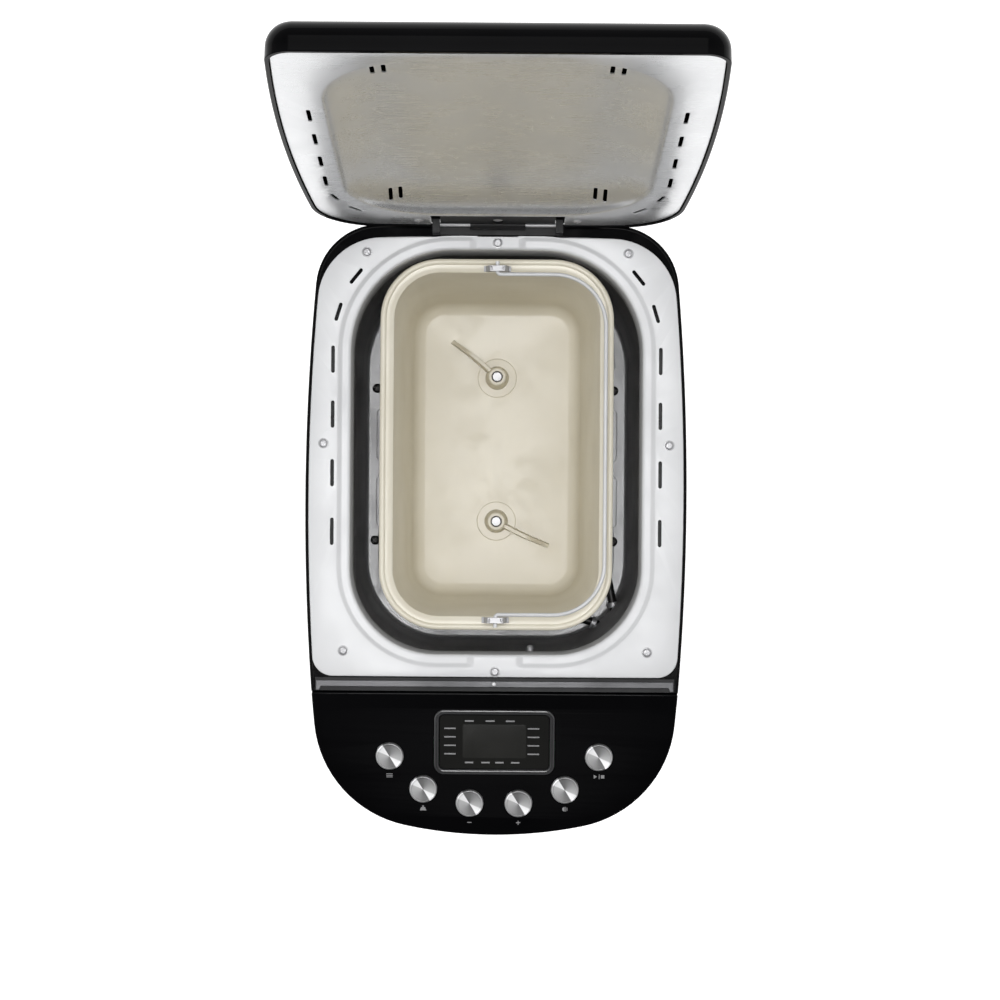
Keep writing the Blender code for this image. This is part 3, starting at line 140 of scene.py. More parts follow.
CASING = Shape(
    HALF_WIDTH, 1.7360, WIDEST, REAR, 2.4000, 0.0450, FRONT, 0.3000, 0.0800,
    (PANEL_REAR - 0.0004, PANEL_REAR + 0.0004),
)
DECK = Shape(
    HALF_WIDTH - 0.0023, 1.7337, WIDEST, DECK_REAR, 2.4000, 0.0450, DECK_FRONT, STRAIGHT, 0.0140, ()
)
PANEL = Shape(
    HALF_WIDTH, 1.7360, WIDEST, PANEL_REAR - GAP, STRAIGHT, 0.0015, FRONT, 0.3000, 0.0800, ()
)
LID = Shape(HALF_WIDTH, 1.7360, WIDEST, REAR, 2.4000, 0.0450, LID_FRONT, STRAIGHT, 0.0160, ())
OPENING = boxed(OPENING_WIDTH, OPENING_REAR, OPENING_FRONT, 0.0700, 0.0600)
PAN = boxed(PAN_WIDTH, PAN_REAR, PAN_FRONT, 0.0420, 0.0420)
DISH = boxed(0.2020, REAR - 0.0270, LID_FRONT + 0.0170, 0.0600, 0.0600)


# ---------------------------------------------------------------- outlines
def fillet_centre(side, side_radius, end, end_radius, near):
    """The crossing of two circles that lies nearest to a point: the centre of a corner's fillet."""
    between = end - side
    distance = between.length
    along = (side_radius**2 - end_radius**2 + distance**2) / (2 * distance)
    across = math.sqrt(max(0.0, side_radius**2 - along**2))
    foot = side + between * (along / distance)
    square = Vector((-between.y, between.x)) * (across / distance)
    return min((foot + square, foot - square), key=lambda point: (point - near).length)


def arc(centre, radius, start, end, steps):
    """Points on a circle from one direction to another, both ends included."""
    first = math.atan2(*(start - centre).yx)
    turn = math.atan2(*(end - centre).yx) - first
    return [
        centre + Vector((math.cos(first + turn * i / steps), math.sin(first + turn * i / steps))) * radius
        for i in range(steps + 1)
    ]


def right_half(shape, inset, ends=12, corners=16, sides=20):
    """The half outline at +X, from the middle of the front edge to the middle of the rear edge."""
    side = Vector((shape.half_width - shape.bend, shape.widest))
    side_radius = shape.bend - inset
    points = []
    for sign, edge, bend, corner in (
        (-1, shape.front, shape.front_bend, shape.front_corner - inset),
        (1, shape.rear, shape.rear_bend, shape.rear_corner - inset),
    ):
        end = Vector((0, edge - sign * bend))
        end_radius = bend - inset
        guess = Vector((shape.half_width, edge))
        centre = fillet_centre(side, side_radius - corner, end, end_radius - corner, guess)
        on_end = end + (centre - end).normalized() * end_radius
        on_side = side + (centre - side).normalized() * side_radius
        middle = end + Vector((0, sign * end_radius))
        run = arc(end, end_radius, middle, on_end, ends)
        run += arc(centre, corner, on_end, on_side, corners)[1:]
        points.append(run if sign < 0 else run[::-1])
    low, high = points[0][-1].y, points[1][0].y
    levels = [low + (high - low) * i / sides for i in range(1, sides)]
    levels = sorted(levels + [stop for stop in shape.stops if low < stop < high])
    bowed = [Vector((side.x + math.sqrt(side_radius**2 - (y - side.y) ** 2), y)) for y in levels]
    return points[0] + bowed + points[1]


def outline(shape, inset=0.0, share=1.0, ends=12):
    """A closed outline seen from above, moved in by inset and then drawn together by a share."""
    half = right_half(shape, inset, ends)
    middle = (half[0].y + half[-1].y) / 2
    half = [Vector((p.x * share, middle + (p.y - middle) * share)) for p in half]
    half[0].x = half[-1].x = 0.0
    return half + [Vector((-p.x, p.y)) for p in half[-2:0:-1]]


def ring(points, level):
    """The outline in space, at one height or at a height worked out from each point."""
    height = level if callable(level) else lambda p: level
    return [Vector((p.x, p.y, height(p))) for p in points]


def side_at(shape, y):
    """Half the width of a shape at a place along it."""
    return shape.half_width - shape.bend + math.sqrt(shape.bend**2 - (y - shape.widest) ** 2)


def stadium(length, width, steps=8):
    """A slot's outline about the origin, long in Y."""
    radius, straight = width / 2, (length - width) / 2
    turn = [math.pi * i / steps for i in range(steps + 1)]
    top = [Vector((radius * math.cos(a), straight + radius * math.sin(a))) for a in turn]
    return top + [-p for p in top]


def circle(radius, steps=32, x=0.0, y=0.0):
    """A circle's outline about a point."""
    return [
        Vector((x + radius * math.cos(a), y + radius * math.sin(a)))
        for a in (2 * math.pi * i / steps for i in range(steps))
    ]


def plus(reach, half):
    """The outline of a cross recess about the origin."""
    arm = [Vector((reach, -half)), Vector((reach, half)), Vector((half, half))]
    return [Matrix.Rotation(turn * math.pi / 2, 2) @ p for turn in range(4) for p in arm]


def filleted(corners, steps=14):
    """A route in a plane through corners given as (x, y, radius), each rounded by its radius."""
    points = [Vector(corners[0][:2])]
    for before, here, after in zip(corners, corners[1:], corners[2:]):
        at = Vector(here[:2])
        back = (Vector(before[:2]) - at).normalized()
        ahead = (Vector(after[:2]) - at).normalized()
        half = back.angle(ahead) / 2
        centre = at + (back + ahead).normalized() * (here[2] / math.sin(half))
        start = at + back * (here[2] / math.tan(half))
        first, last = start - centre, at + ahead * (here[2] / math.tan(half)) - centre
        sweep = first.angle_signed(last)
        points += [centre + Matrix.Rotation(-sweep * i / steps, 2) @ first for i in range(steps + 1)]
    return points + [Vector(corners[-1][:2])]


def soft(value, low, high):
    """A smooth step from 0 at low to 1 at high."""
    share = min(1.0, max(0.0, (value - low) / (high - low)))
    return share * share * (3 - 2 * share)


# ---------------------------------------------------------------- making meshes
def closed_mesh(name, bm, angle=32.0):
    """Finishes a bmesh as a smooth mesh with faces outwards."""
    bmesh.ops.recalc_face_normals(bm, faces=bm.faces)
    if bm.calc_volume(signed=True) < 0:
        bmesh.ops.reverse_faces(bm, faces=bm.faces)
    mesh = bpy.data.meshes.new(name)
    bm.to_mesh(mesh)
    bm.free()
    mesh.shade_smooth()
    mesh.set_sharp_from_angle(angle=math.radians(angle))
    return mesh


def place_piece(name, data, coat, body, at=(0, 0, 0), turn=(0, 0, 0), stands_for=(), slot=None):
    """Links a piece, gives it its finish and lets it move with its body."""
    piece = bpy.data.objects.new(name, data)
    bpy.context.scene.collection.objects.link(piece)
    piece.location = at
    piece.rotation_euler = turn
    data.materials.clear()
    data.materials.append(finish(coat))
    bpy.context.view_layer.update()
    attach(piece, body)
    if stands_for:
        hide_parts(*stands_for)
    slot = slot or SLOT_OF_FINISH.get(coat, coat)
    return piece


def loft_mesh(name, sections, endless=False, angle=32.0):
    """A skin that runs through outlines in turn, closed at both ends or endless."""
    bm = bmesh.new()
    rings = [[bm.verts.new(point) for point in section] for section in sections]
    pairs = list(zip(rings, rings[1:]))
    if endless:
        pairs.append((rings[-1], rings[0]))
    else:
        for end in (rings[0], rings[-1]):
            cap(bm, end)
    for first, second in pairs:
        for i in range(len(first)):
            j = (i + 1) % len(first)
            bm.faces.new((first[i], first[j], second[j], second[i]))
    return closed_mesh(name, bm, angle)


def cap(bm, end):
    """Closes a symmetric outline, with one face or with a ladder of faces where it isn't level."""
    count, half = len(end), len(end) // 2
    levels = [corner.co.z for corner in end]
    if max(levels) - min(levels) < 0.000001:
        bm.faces.new(end)
        return
    bm.faces.new((end[0], end[1], end[count - 1]))
    for i in range(1, half - 1):
        bm.faces.new((end[i], end[i + 1], end[count - i - 1], end[count - i]))
    bm.faces.new((end[half - 1], end[half], end[half + 1]))


def spun_mesh(name, profile, steps=48, endless=False, angle=32.0):
    """A turned mesh: a profile of (radius, height) spun about Z."""
    bm = bmesh.new()
    columns = []
    for radius, height in profile:
        if radius < 0.0000001:
            columns.append([bm.verts.new((0, 0, height))])
        else:
            columns.append([bm.verts.new((p.x, p.y, height)) for p in circle(radius, steps)])
    pairs = list(zip(columns, columns[1:]))
    if endless:
        pairs.append((columns[-1], columns[0]))
    for first, second in pairs:
        for i in range(steps):
            j = (i + 1) % steps
            if len(first) == 1:
                bm.faces.new((first[0], second[j], second[i]))
            elif len(second) == 1:
                bm.faces.new((first[i], first[j], second[0]))
            else:
                bm.faces.new((first[i], first[j], second[j], second[i]))
    return closed_mesh(name, bm, angle)


def tube_mesh(name, route, radius, sides=20):
    """A round wire along a route of points, with flat closed ends."""
    bm = bmesh.new()
    route = [Vector(p) for p in route]
    rings = []
    count = len(route)
    up = Vector((0, 0, 1))
    for i, here in enumerate(route):
        ahead = (route[min(i + 1, count - 1)] - route[max(i - 1, 0)]).normalized()
        across = ahead.cross(up).normalized()
        over = across.cross(ahead).normalized()
        rings.append([
            bm.verts.new(here + across * (radius * p.x) + over * (radius * p.y)) for p in circle(1.0, sides)
        ])
    for first, second in zip(rings, rings[1:]):
        for i in range(sides):
            j = (i + 1) % sides
            bm.faces.new((first[i], first[j], second[j], second[i]))
    for end in (rings[0], rings[-1]):
        bm.faces.new(end)
    return closed_mesh(name, bm)


def add_prism(bm, points, low, high, matrix=None):
    """An upright block with an outline of its own."""
    matrix = matrix or Matrix()
    bottom = [bm.verts.new(matrix @ Vector((p.x, p.y, low))) for p in points]
    top = [bm.verts.new(matrix @ Vector((p.x, p.y, high))) for p in points]
    bm.faces.new(bottom)
    bm.faces.new(top)
    for i in range(len(points)):
        j = (i + 1) % len(points)
        bm.faces.new((bottom[i], bottom[j], top[j], top[i]))


def add_block(bm, low, high, matrix=None):
    """A rectangular block between two corners."""
    corners = [Vector(c) for c in ((low[0], low[1]), (high[0], low[1]), (high[0], high[1]), (low[0], high[1]))]
    add_prism(bm, corners, low[2], high[2], matrix)


def prism_mesh(name, prisms, angle=32.0):
    """One mesh of upright blocks, each given as (outline, low, high, matrix)."""
    bm = bmesh.new()
    for points, low, high, matrix in prisms:
        add_prism(bm, points, low, high, matrix)
    return closed_mesh(name, bm, angle)


def cut(mesh, fill, operation="DIFFERENCE", angle=32.0):
    """The mesh with shapes cut out of it, or joined to it. Fill is a function that fills a bmesh."""
    bm = bmesh.new()
    fill(bm)
    tool = bpy.data.objects.new("cutter", closed_mesh("cutter", bm))
    blank = bpy.data.objects.new("blank", mesh)
    for helper in (tool, blank):
        bpy.context.scene.collection.objects.link(helper)
    boolean = blank.modifiers.new("cut", "BOOLEAN")
    boolean.operation = operation
    boolean.solver = "EXACT"
    boolean.object = tool
    bpy.context.view_layer.update()
    graph = bpy.context.evaluated_depsgraph_get()
    result = bpy.data.meshes.new_from_object(blank.evaluated_get(graph))
    result.name = mesh.name + "_cut"
    for helper in (tool, blank):
        bpy.data.objects.remove(helper, do_unlink=True)
    if not result.polygons:
        raise RuntimeError(f"nothing is left of {mesh.name} after a cut")
    result.shade_smooth()
    result.set_sharp_from_angle(angle=math.radians(angle))
    return result


def softened(piece, width, segments=3, angle=35.0):
    """Breaks the sharp edges of a piece, so that they catch the light."""
    bevel = piece.modifiers.new("broken_edges", "BEVEL")
    bevel.width = width
    bevel.segments = segments
    bevel.limit_method = "ANGLE"
    bevel.angle_limit = math.radians(angle)
    bevel.harden_normals = True
    return piece


# ---------------------------------------------------------------- finishes
def new_group(name, inputs, outputs):
    """An empty shader group with named number inputs and outputs, as (group, ins, outs)."""
    group = bpy.data.node_groups.new(name, "ShaderNodeTree")
    for label, default in inputs:
        socket = group.interface.new_socket(name=label, in_out="INPUT", socket_type="NodeSocketFloat")
        socket.default_value = default
    for label in outputs:
        group.interface.new_socket(name=label, in_out="OUTPUT", socket_type="NodeSocketFloat")
    ins, outs = group.nodes.new("NodeGroupInput"), group.nodes.new("NodeGroupOutput")
    return group, ins, outs


def object_noise(group, stretch, scale, detail, rough=0.6):
    """A noise texture laid on the object's own coordinates, stretched along its axes."""
    place = group.nodes.new("ShaderNodeTexCoord")
    mapping = group.nodes.new("ShaderNodeMapping")
    mapping.inputs["Scale"].default_value = stretch
    texture = group.nodes.new("ShaderNodeTexNoise")
    texture.inputs["Detail"].default_value = detail
    texture.inputs["Roughness"].default_value = rough
    group.links.new(place.outputs["Object"], mapping.inputs["Vector"])
    group.links.new(mapping.outputs["Vector"], texture.inputs["Vector"])
    if isinstance(scale, (int, float)):
        texture.inputs["Scale"].default_value = scale
    else:
        group.links.new(scale, texture.inputs["Scale"])
    return texture.outputs["Fac"]


def ranged(tree, value, low, high, to_low, to_high):
    """The value mapped from one range to another, clamped."""
    node = tree.nodes.new("ShaderNodeMapRange")
    for label, number in (("From Min", low), ("From Max", high), ("To Min", to_low), ("To Max", to_high)):
        node.inputs[label].default_value = number
    tree.links.new(value, node.inputs["Value"])
    return node.outputs["Result"]


def grain_group():
    """Fine grain of the surface and broad clouding, both between 0 and 1."""
    group, ins, outs = new_group("surface_grain", (("Scale", 900.0), ("Cloud Scale", 14.0)), ("Grain", "Cloud"))
    fine = object_noise(group, (1, 1, 1), ins.outputs["Scale"], 4.0)
    broad = object_noise(group, (1, 1, 1), ins.outputs["Cloud Scale"], 3.0, 0.5)
    group.links.new(ranged(group, fine, 0.3, 0.7, 0.0, 1.0), outs.inputs["Grain"])
    group.links.new(ranged(group, broad, 0.3, 0.7, 0.0, 1.0), outs.inputs["Cloud"])
    return group


def brushed_group():
    """Fine lines along X, as rolled and brushed sheet shows them, between 0 and 1."""
    group, ins, outs = new_group("brushed_lines", (("Scale", 60.0),), ("Lines",))
    lines = object_noise(group, (0.7, 32.0, 32.0), ins.outputs["Scale"], 5.0, 0.7)
    group.links.new(ranged(group, lines, 0.25, 0.75, 0.0, 1.0), outs.inputs["Lines"])
    return group


def handling_group():
    """Where hands and cloths have left soft smudges, between 0 and 1."""
    group, ins, outs = new_group("handling_marks", (("Scale", 22.0),), ("Smudge",))
    smudge = object_noise(group, (1, 1, 1), ins.outputs["Scale"], 6.0, 0.65)
    group.links.new(ranged(group, smudge, 0.48, 0.75, 0.0, 1.0), outs.inputs["Smudge"])
    return group


def edge_group():
    """Where convex edges have been rubbed, between 0 and 1."""
    group, ins, outs = new_group("rubbed_edges", (("Amount", 1.0),), ("Edge",))
    geometry = group.nodes.new("ShaderNodeNewGeometry")
    edge = ranged(group, geometry.outputs["Pointiness"], 0.52, 0.60, 0.0, 1.0)
    product = group.nodes.new("ShaderNodeMath")
    product.operation = "MULTIPLY"
    group.links.new(edge, product.inputs[0])
    group.links.new(ins.outputs["Amount"], product.inputs[1])
    group.links.new(product.outputs["Value"], outs.inputs["Edge"])
    return group


GROUPS = {}
FINISHES = {}


def placed_group(tree, name, make, **values):
    """Puts a shared group into a material with the material's own values."""
    if name not in GROUPS:
        GROUPS[name] = make()
    node = tree.nodes.new("ShaderNodeGroup")
    node.node_tree = GROUPS[name]
    for label, number in values.items():
        node.inputs[label.replace("_", " ")].default_value = number
    return node


def blended(tree, share, first, second):
    """Two colours mixed by a varying share. Either may be a colour or a socket."""
    node = tree.nodes.new("ShaderNodeMix")
    node.data_type = "RGBA"
    tree.links.new(share, node.inputs["Factor"])
    for label, colour in (("A", first), ("B", second)):
        socket = next(s for s in node.inputs if s.name == label and s.type == "RGBA")
        if isinstance(colour, bpy.types.NodeSocket):
            tree.links.new(colour, socket)
        else:
            socket.default_value = (*colour, 1.0)
    return next(s for s in node.outputs if s.type == "RGBA")


# The record's slot of each finish that has another name there.
SLOT_OF_FINISH = {
    "strip_painted_highlight": "satin_black", "bezel_frame": "satin_black", "marking_ink": "bright_steel",
    "liner_steel": "bright_steel", "display_glass": "smoked_window", "display_cell": "smoked_window",
}
# Each finish: darker and lighter colour, roughness range, metallic, grain scale, height of the grain in
# millimetres, how far it is brushed, how far its edges are rubbed, and sockets set straight on the shader.
FINISH_TABLE = {
    "gloss_black": ((0.0010, 0.0010, 0.0013), (0.0020, 0.0020, 0.0024), (0.09, 0.17), 0.0, 500, 0.004, 0.0, 0.3,
                    {"Specular IOR Level": 0.05}),
    "satin_black": ((0.004, 0.004, 0.0045), (0.007, 0.007, 0.0078), (0.38, 0.52), 0.0, 1500, 0.015, 0.0, 0.5,
                    {"Specular IOR Level": 0.16}),
    "bright_steel": ((0.58, 0.585, 0.595), (0.66, 0.665, 0.675), (0.42, 0.52), 0.15, 1400, 0.008, 0.5, 0.4, {}),
    "liner_steel": ((0.60, 0.605, 0.615), (0.72, 0.725, 0.735), (0.24, 0.34), 0.80, 1400, 0.006, 0.5, 0.4, {}),
    "dark_coating": ((0.27, 0.27, 0.275), (0.37, 0.37, 0.375), (0.34, 0.48), 0.35, 1200, 0.02, 0.0, 0.5, {}),
    "cream_coating": ((0.66, 0.615, 0.50), (0.73, 0.69, 0.58), (0.30, 0.42), 0.0, 1600, 0.010, 0.0, 0.2,
                      {"Specular IOR Level": 0.45}),
    "pan_coating": ((0.60, 0.56, 0.45), (0.68, 0.64, 0.53), (0.34, 0.46), 0.0, 1600, 0.012, 0.0, 0.2, {}),
    "motor_casing": ((0.34, 0.34, 0.35), (0.46, 0.46, 0.47), (0.35, 0.5), 0.9, 700, 0.02, 0.2, 0.4, {}),
    "zinc_steel": ((0.30, 0.30, 0.31), (0.42, 0.42, 0.43), (0.34, 0.46), 0.5, 900, 0.012, 0.3, 0.5, {}),
    "circuit_green": ((0.012, 0.075, 0.030), (0.020, 0.11, 0.045), (0.28, 0.42), 0.0, 1100, 0.02, 0.0, 0.2, {}),
    "black_rubber": ((0.010, 0.010, 0.010), (0.020, 0.020, 0.020), (0.72, 0.88), 0.0, 1300, 0.05, 0.0, 0.3, {}),
    "dark_nylon": ((0.030, 0.030, 0.032), (0.052, 0.052, 0.055), (0.42, 0.58), 0.0, 1300, 0.03, 0.0, 0.3, {}),
    "element_sheath": ((0.010, 0.010, 0.011), (0.030, 0.028, 0.027), (0.35, 0.55), 0.5, 800, 0.03, 0.0, 0.4, {}),
    # The strip's grey is a painted highlight: a lighter copy of the satin black trim.
    "strip_painted_highlight": ((0.055, 0.055, 0.058), (0.080, 0.080, 0.084), (0.30, 0.42), 0.6, 1200, 0.01, 0.6, 0.3, {}),
    "marking_ink": ((0.20, 0.20, 0.205), (0.27, 0.27, 0.275), (0.45, 0.6), 0.0, 1800, 0.004, 0.0, 0.0, {}),
    "display_glass": ((0.005, 0.005, 0.0045), (0.008, 0.008, 0.007), (0.06, 0.12), 0.0, 300, 0.001, 0.0, 0.0,
                      {"Specular IOR Level": 0.30}),
    "display_cell": ((0.007, 0.007, 0.006), (0.010, 0.010, 0.008), (0.20, 0.28), 0.0, 900, 0.002, 0.0, 0.0, {}),
    "bezel_frame": ((0.027, 0.027, 0.028), (0.037, 0.037, 0.039), (0.22, 0.30), 0.0, 900, 0.004, 0.0, 0.4, {}),
}


def finish(name):
    """The procedural material of one finish, made once."""
    if name in FINISHES:
        return FINISHES[name]
    if name == "spun_aluminium":
        return spun_finish()
    dark, light, (smooth, rough), metallic, scale, height, brushed, rubbed, sockets = FINISH_TABLE[name]
    colours = bpy.context.scene.bread_machine_colours
    if name in ("bright_steel", "liner_steel"):
        light = tuple(colours.steel)
    elif name == "cream_coating":
        light = tuple(colours.pan)
    elif name == "gloss_black":
        light = tuple(colours.casing)
    material = bpy.data.materials.new(name)
    material.use_nodes = True
    tree = material.node_tree
    shader = tree.nodes["Principled BSDF"]
    shader.inputs["Metallic"].default_value = metallic
    for label, number in sockets.items():
        shader.inputs[label].default_value = number
    grain = placed_group(tree, "surface_grain", grain_group, Scale=scale, Cloud_Scale=14.0)
    marks = placed_group(tree, "handling_marks", handling_group, Scale=24.0)
    edges = placed_group(tree, "rubbed_edges", edge_group, Amount=rubbed)
    base = blended(tree, grain.outputs["Cloud"], dark, light)
    worn = tuple(min(1.0, c * 1.35 + 0.01) for c in light)
    base = blended(tree, edges.outputs["Edge"], base, worn)
    tree.links.new(base, shader.inputs["Base Color"])
    height_source = grain.outputs["Grain"]
    gloss = ranged(tree, marks.outputs["Smudge"], 0.0, 1.0, smooth, rough)
    if brushed:
        lines = placed_group(tree, "brushed_lines", brushed_group, Scale=60.0)
        mix = tree.nodes.new("ShaderNodeMix")
        mix.inputs["Factor"].default_value = brushed
        tree.links.new(grain.outputs["Grain"], mix.inputs["A"])
        tree.links.new(lines.outputs["Lines"], mix.inputs["B"])
        height_source = mix.outputs["Result"]
        share = tree.nodes.new("ShaderNodeMath")
        share.operation = "MULTIPLY_ADD"
        share.inputs[1].default_value = (rough - smooth) * 0.8
        tree.links.new(lines.outputs["Lines"], share.inputs[0])
        tree.links.new(gloss, share.inputs[2])
        gloss = share.outputs["Value"]
    tree.links.new(gloss, shader.inputs["Roughness"])
    bump = tree.nodes.new("ShaderNodeBump")
    bump.inputs["Distance"].default_value = height / 1000
    bump.inputs["Strength"].default_value = 1.0
    tree.links.new(height_source, bump.inputs["Height"])
    tree.links.new(bump.outputs["Normal"], shader.inputs["Normal"])
    material.diffuse_color = (*light, 1.0)
    FINISHES[name] = material
    return material


def spun_finish():
    """Turned aluminium: concentric tool marks, and bright and dark wedges painted into its colour as painted
    highlights and painted shade.
    """
    material = bpy.data.materials.new("spun_aluminium")
    material.use_nodes = True
    tree = material.node_tree
    shader = tree.nodes["Principled BSDF"]
    shader.inputs["Metallic"].default_value = 0.45
    place = tree.nodes.new("ShaderNodeTexCoord")
    gradient = tree.nodes.new("ShaderNodeTexGradient")
    gradient.gradient_type = "RADIAL"
    tree.links.new(place.outputs["Object"], gradient.inputs["Vector"])
    ramp = tree.nodes.new("ShaderNodeValToRGB")
    ramp.color_ramp.interpolation = "LINEAR"
    elements = ramp.color_ramp.elements
    # Painted highlight and painted shade: bright and dark wedges in the base colour round each key's face, two of
    # each per turn.
    painted_wedge_half_turn = (
        (0.000, 0.44), (0.120, 0.30), (0.250, 0.16), (0.330, 0.13), (0.344, 0.95), (0.425, 0.86), (0.446, 0.48),
    )
    stops = painted_wedge_half_turn + tuple((at + 0.5, level) for at, level in painted_wedge_half_turn) + ((1.0, 0.44),)
    while len(elements) < len(stops):
        elements.new(0.5)
    for element, (at, level) in zip(elements, stops):
        element.position = at
        element.color = (level, level, level * 1.01, 1.0)
    tree.links.new(gradient.outputs["Fac"], ramp.inputs["Fac"])
    tree.links.new(ramp.outputs["Color"], shader.inputs["Base Color"])
    grain = placed_group(tree, "surface_grain", grain_group, Scale=1800.0, Cloud_Scale=60.0)
    tree.links.new(ranged(tree, grain.outputs["Grain"], 0, 1, 0.34, 0.42), shader.inputs["Roughness"])
    rings = tree.nodes.new("ShaderNodeTexWave")
    rings.wave_type = "RINGS"
    rings.rings_direction = "Z"
    rings.inputs["Scale"].default_value = 900.0
    rings.inputs["Distortion"].default_value = 0.3
    tree.links.new(place.outputs["Object"], rings.inputs["Vector"])
    bump = tree.nodes.new("ShaderNodeBump")
    bump.inputs["Distance"].default_value = 0.000006
    tree.links.new(rings.outputs["Fac"], bump.inputs["Height"])
    tree.links.new(bump.outputs["Normal"], shader.inputs["Normal"])
    FINISHES["spun_aluminium"] = material
    return material


def dress(finish_name, *nodes):
    """Gives carried-over nodes of the frame a procedural finish."""
    for node in nodes:
        piece = frame["nodes"][node]
        if not piece.material_slots:
            piece.data.materials.append(finish(finish_name))
        for holder in piece.material_slots:
            holder.material = finish(finish_name)


# ---------------------------------------------------------------- shared heights and places
def panel_height(y):
    """Height of the control panel's face."""
    return DECK_HEIGHT - GAP - (PANEL_REAR - y) * math.tan(PANEL_SLOPE)


def wall_top(p):
    """Height of the casing's rim, which drops under the control panel in front."""
    return DECK_HEIGHT if p.y > PANEL_REAR else panel_height(p.y) - PANEL_THICKNESS - GAP


def plate_top(p):
    """Height of the casing's top plate."""
    return PLATE_TOP if p.y > PANEL_REAR else wall_top(p) - 2 * GAP


def on_panel(x, y, rise=0.0):
    """A point on the panel's face, or raised from it."""
    normal = Vector((0, -math.sin(PANEL_SLOPE), math.cos(PANEL_SLOPE)))
    return Vector((x, y, panel_height(y))) + normal * rise


def tilted(x, y):
    """A place on the panel whose Z is the panel's normal."""
    return Matrix.Translation(on_panel(x, y)) @ Matrix.Rotation(PANEL_SLOPE, 4, "X")


def deck_screw_places():
    """The deck's screws: three pairs along its sides, then the middle of its front and rear."""
    along = ((0.0905, REAR - 0.0210), (0.1197, REAR - 0.1536), (0.1052, DECK_FRONT + 0.0177))
    places = [(side * x, y) for x, y in along for side in (-1, 1)]
    return places + [(0.0, DECK_FRONT + 0.0037), (0.0, REAR - 0.0140)]


def slot_prisms(offset, low, high, matrix=None):
    """The vent slots along both sides, a fixed distance inside the casing's edge."""
    prisms = []
    for back, more, tilt in SIDE_SLOTS:
        slot = stadium(SHORT_SLOT if tilt else LONG_SLOT, SLOT_WIDTH)
        y = REAR - back
        for side in (-1, 1):
            x = side * (side_at(CASING, y) - offset - more)
            turned = Matrix.Translation((x, y, 0)) @ Matrix.Rotation(math.radians(side * tilt), 4, "Z")
            prisms.append((slot, low, high, (matrix or Matrix()) @ turned))
    return prisms


def fill_prisms(bm, prisms):
    """Adds several upright blocks to one bmesh."""
    for points, low, high, matrix in prisms:
        add_prism(bm, points, low, high, matrix)


def screw_mesh(name, head, height, shank, dome=0.45, flange=0.0):
    """A pan-head screw with a cross recess, its seat at height 0 and its shank below."""
    profile = [(0, height)]
    for step in range(1, 7):
        turn = math.pi / 2 * step / 6
        profile.append((head * (1 - dome) + head * dome * math.sin(turn), height * (0.35 + 0.65 * math.cos(turn))))
    profile.insert(1, (head * (1 - dome), height))
    profile += [(head + flange, height * 0.30), (head + flange, 0), (head * 0.45, 0), (head * 0.45, -shank)]
    profile += [(0, -shank)]
    mesh = spun_mesh(name, profile, 32)

    return cut(mesh, lambda bm: add_prism(
        bm, plus(head * 0.62, head * 0.14), height * 0.25, height + 0.001, Matrix.Rotation(0.35, 4, "Z")
    ))


# ---------------------------------------------------------------- casing, tray and feet
def make_casing(sizes):
    """The glossy outer shell, with a rolled rim and the openings for deck, panel, cord and vents."""
    rim = sizes.rim_round
    wall, draft = 0.0024, 0.0040

    def drop(amount):
        return lambda p: wall_top(p) - amount

    sections = [
        ring(outline(CASING, RIM_WIDTH), plate_top),
        ring(outline(CASING, RIM_WIDTH), drop(rim * 0.3)),
        ring(outline(CASING, RIM_WIDTH - rim * 0.3), wall_top),
        ring(outline(CASING, rim * 0.6), wall_top),
        ring(outline(CASING, rim * 0.18), drop(rim * 0.25)),
        ring(outline(CASING, 0.0), drop(rim)),
        ring(outline(CASING, draft - 0.0004), CASING_BOTTOM + 0.0006),
        ring(outline(CASING, draft), CASING_BOTTOM),
        ring(outline(CASING, wall + draft), CASING_BOTTOM),
        ring(outline(CASING, wall), lambda p: plate_top(p) - 0.0020),
    ]
    mesh = cut(loft_mesh("shell", sections), casing_openings)
    place_piece("casing_shell", mesh, "gloss_black", "casing", stands_for=("housing_shell",))


def casing_openings(bm):
    """Everything that is cut out of the casing: the oven, the panel's well, the hinge, gland and vents."""
    high, low = DECK_HEIGHT + 0.01, DECK_HEIGHT - 0.03
    add_prism(bm, outline(OPENING, -STEP_OUTSET - 0.0016), low, high)
    add_prism(bm, outline(boxed(0.176, PANEL_REAR - 0.005, FRONT + 0.010, 0.010, 0.045)), low, high)
    add_block(bm, (-0.046, REAR - 0.006, PLATE_TOP), (0.046, REAR + 0.005, high))
    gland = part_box("cord_gland")
    x, z = (gland[0][0] + gland[1][0]) / 2, (gland[0][2] + gland[1][2]) / 2
    upright = Matrix.Translation((x, REAR, z)) @ Matrix.Rotation(math.pi / 2, 4, "X")
    add_prism(bm, circle(0.0074, 32), -0.01, 0.012, upright)
    for i in range(8):
        x = -0.0095 * (i + 1)
        upright = Matrix.Translation((x, REAR, 0.075)) @ Matrix.Rotation(math.pi / 2, 4, "X")
        add_prism(bm, stadium(0.030, 0.0030), -0.005, 0.012, upright)


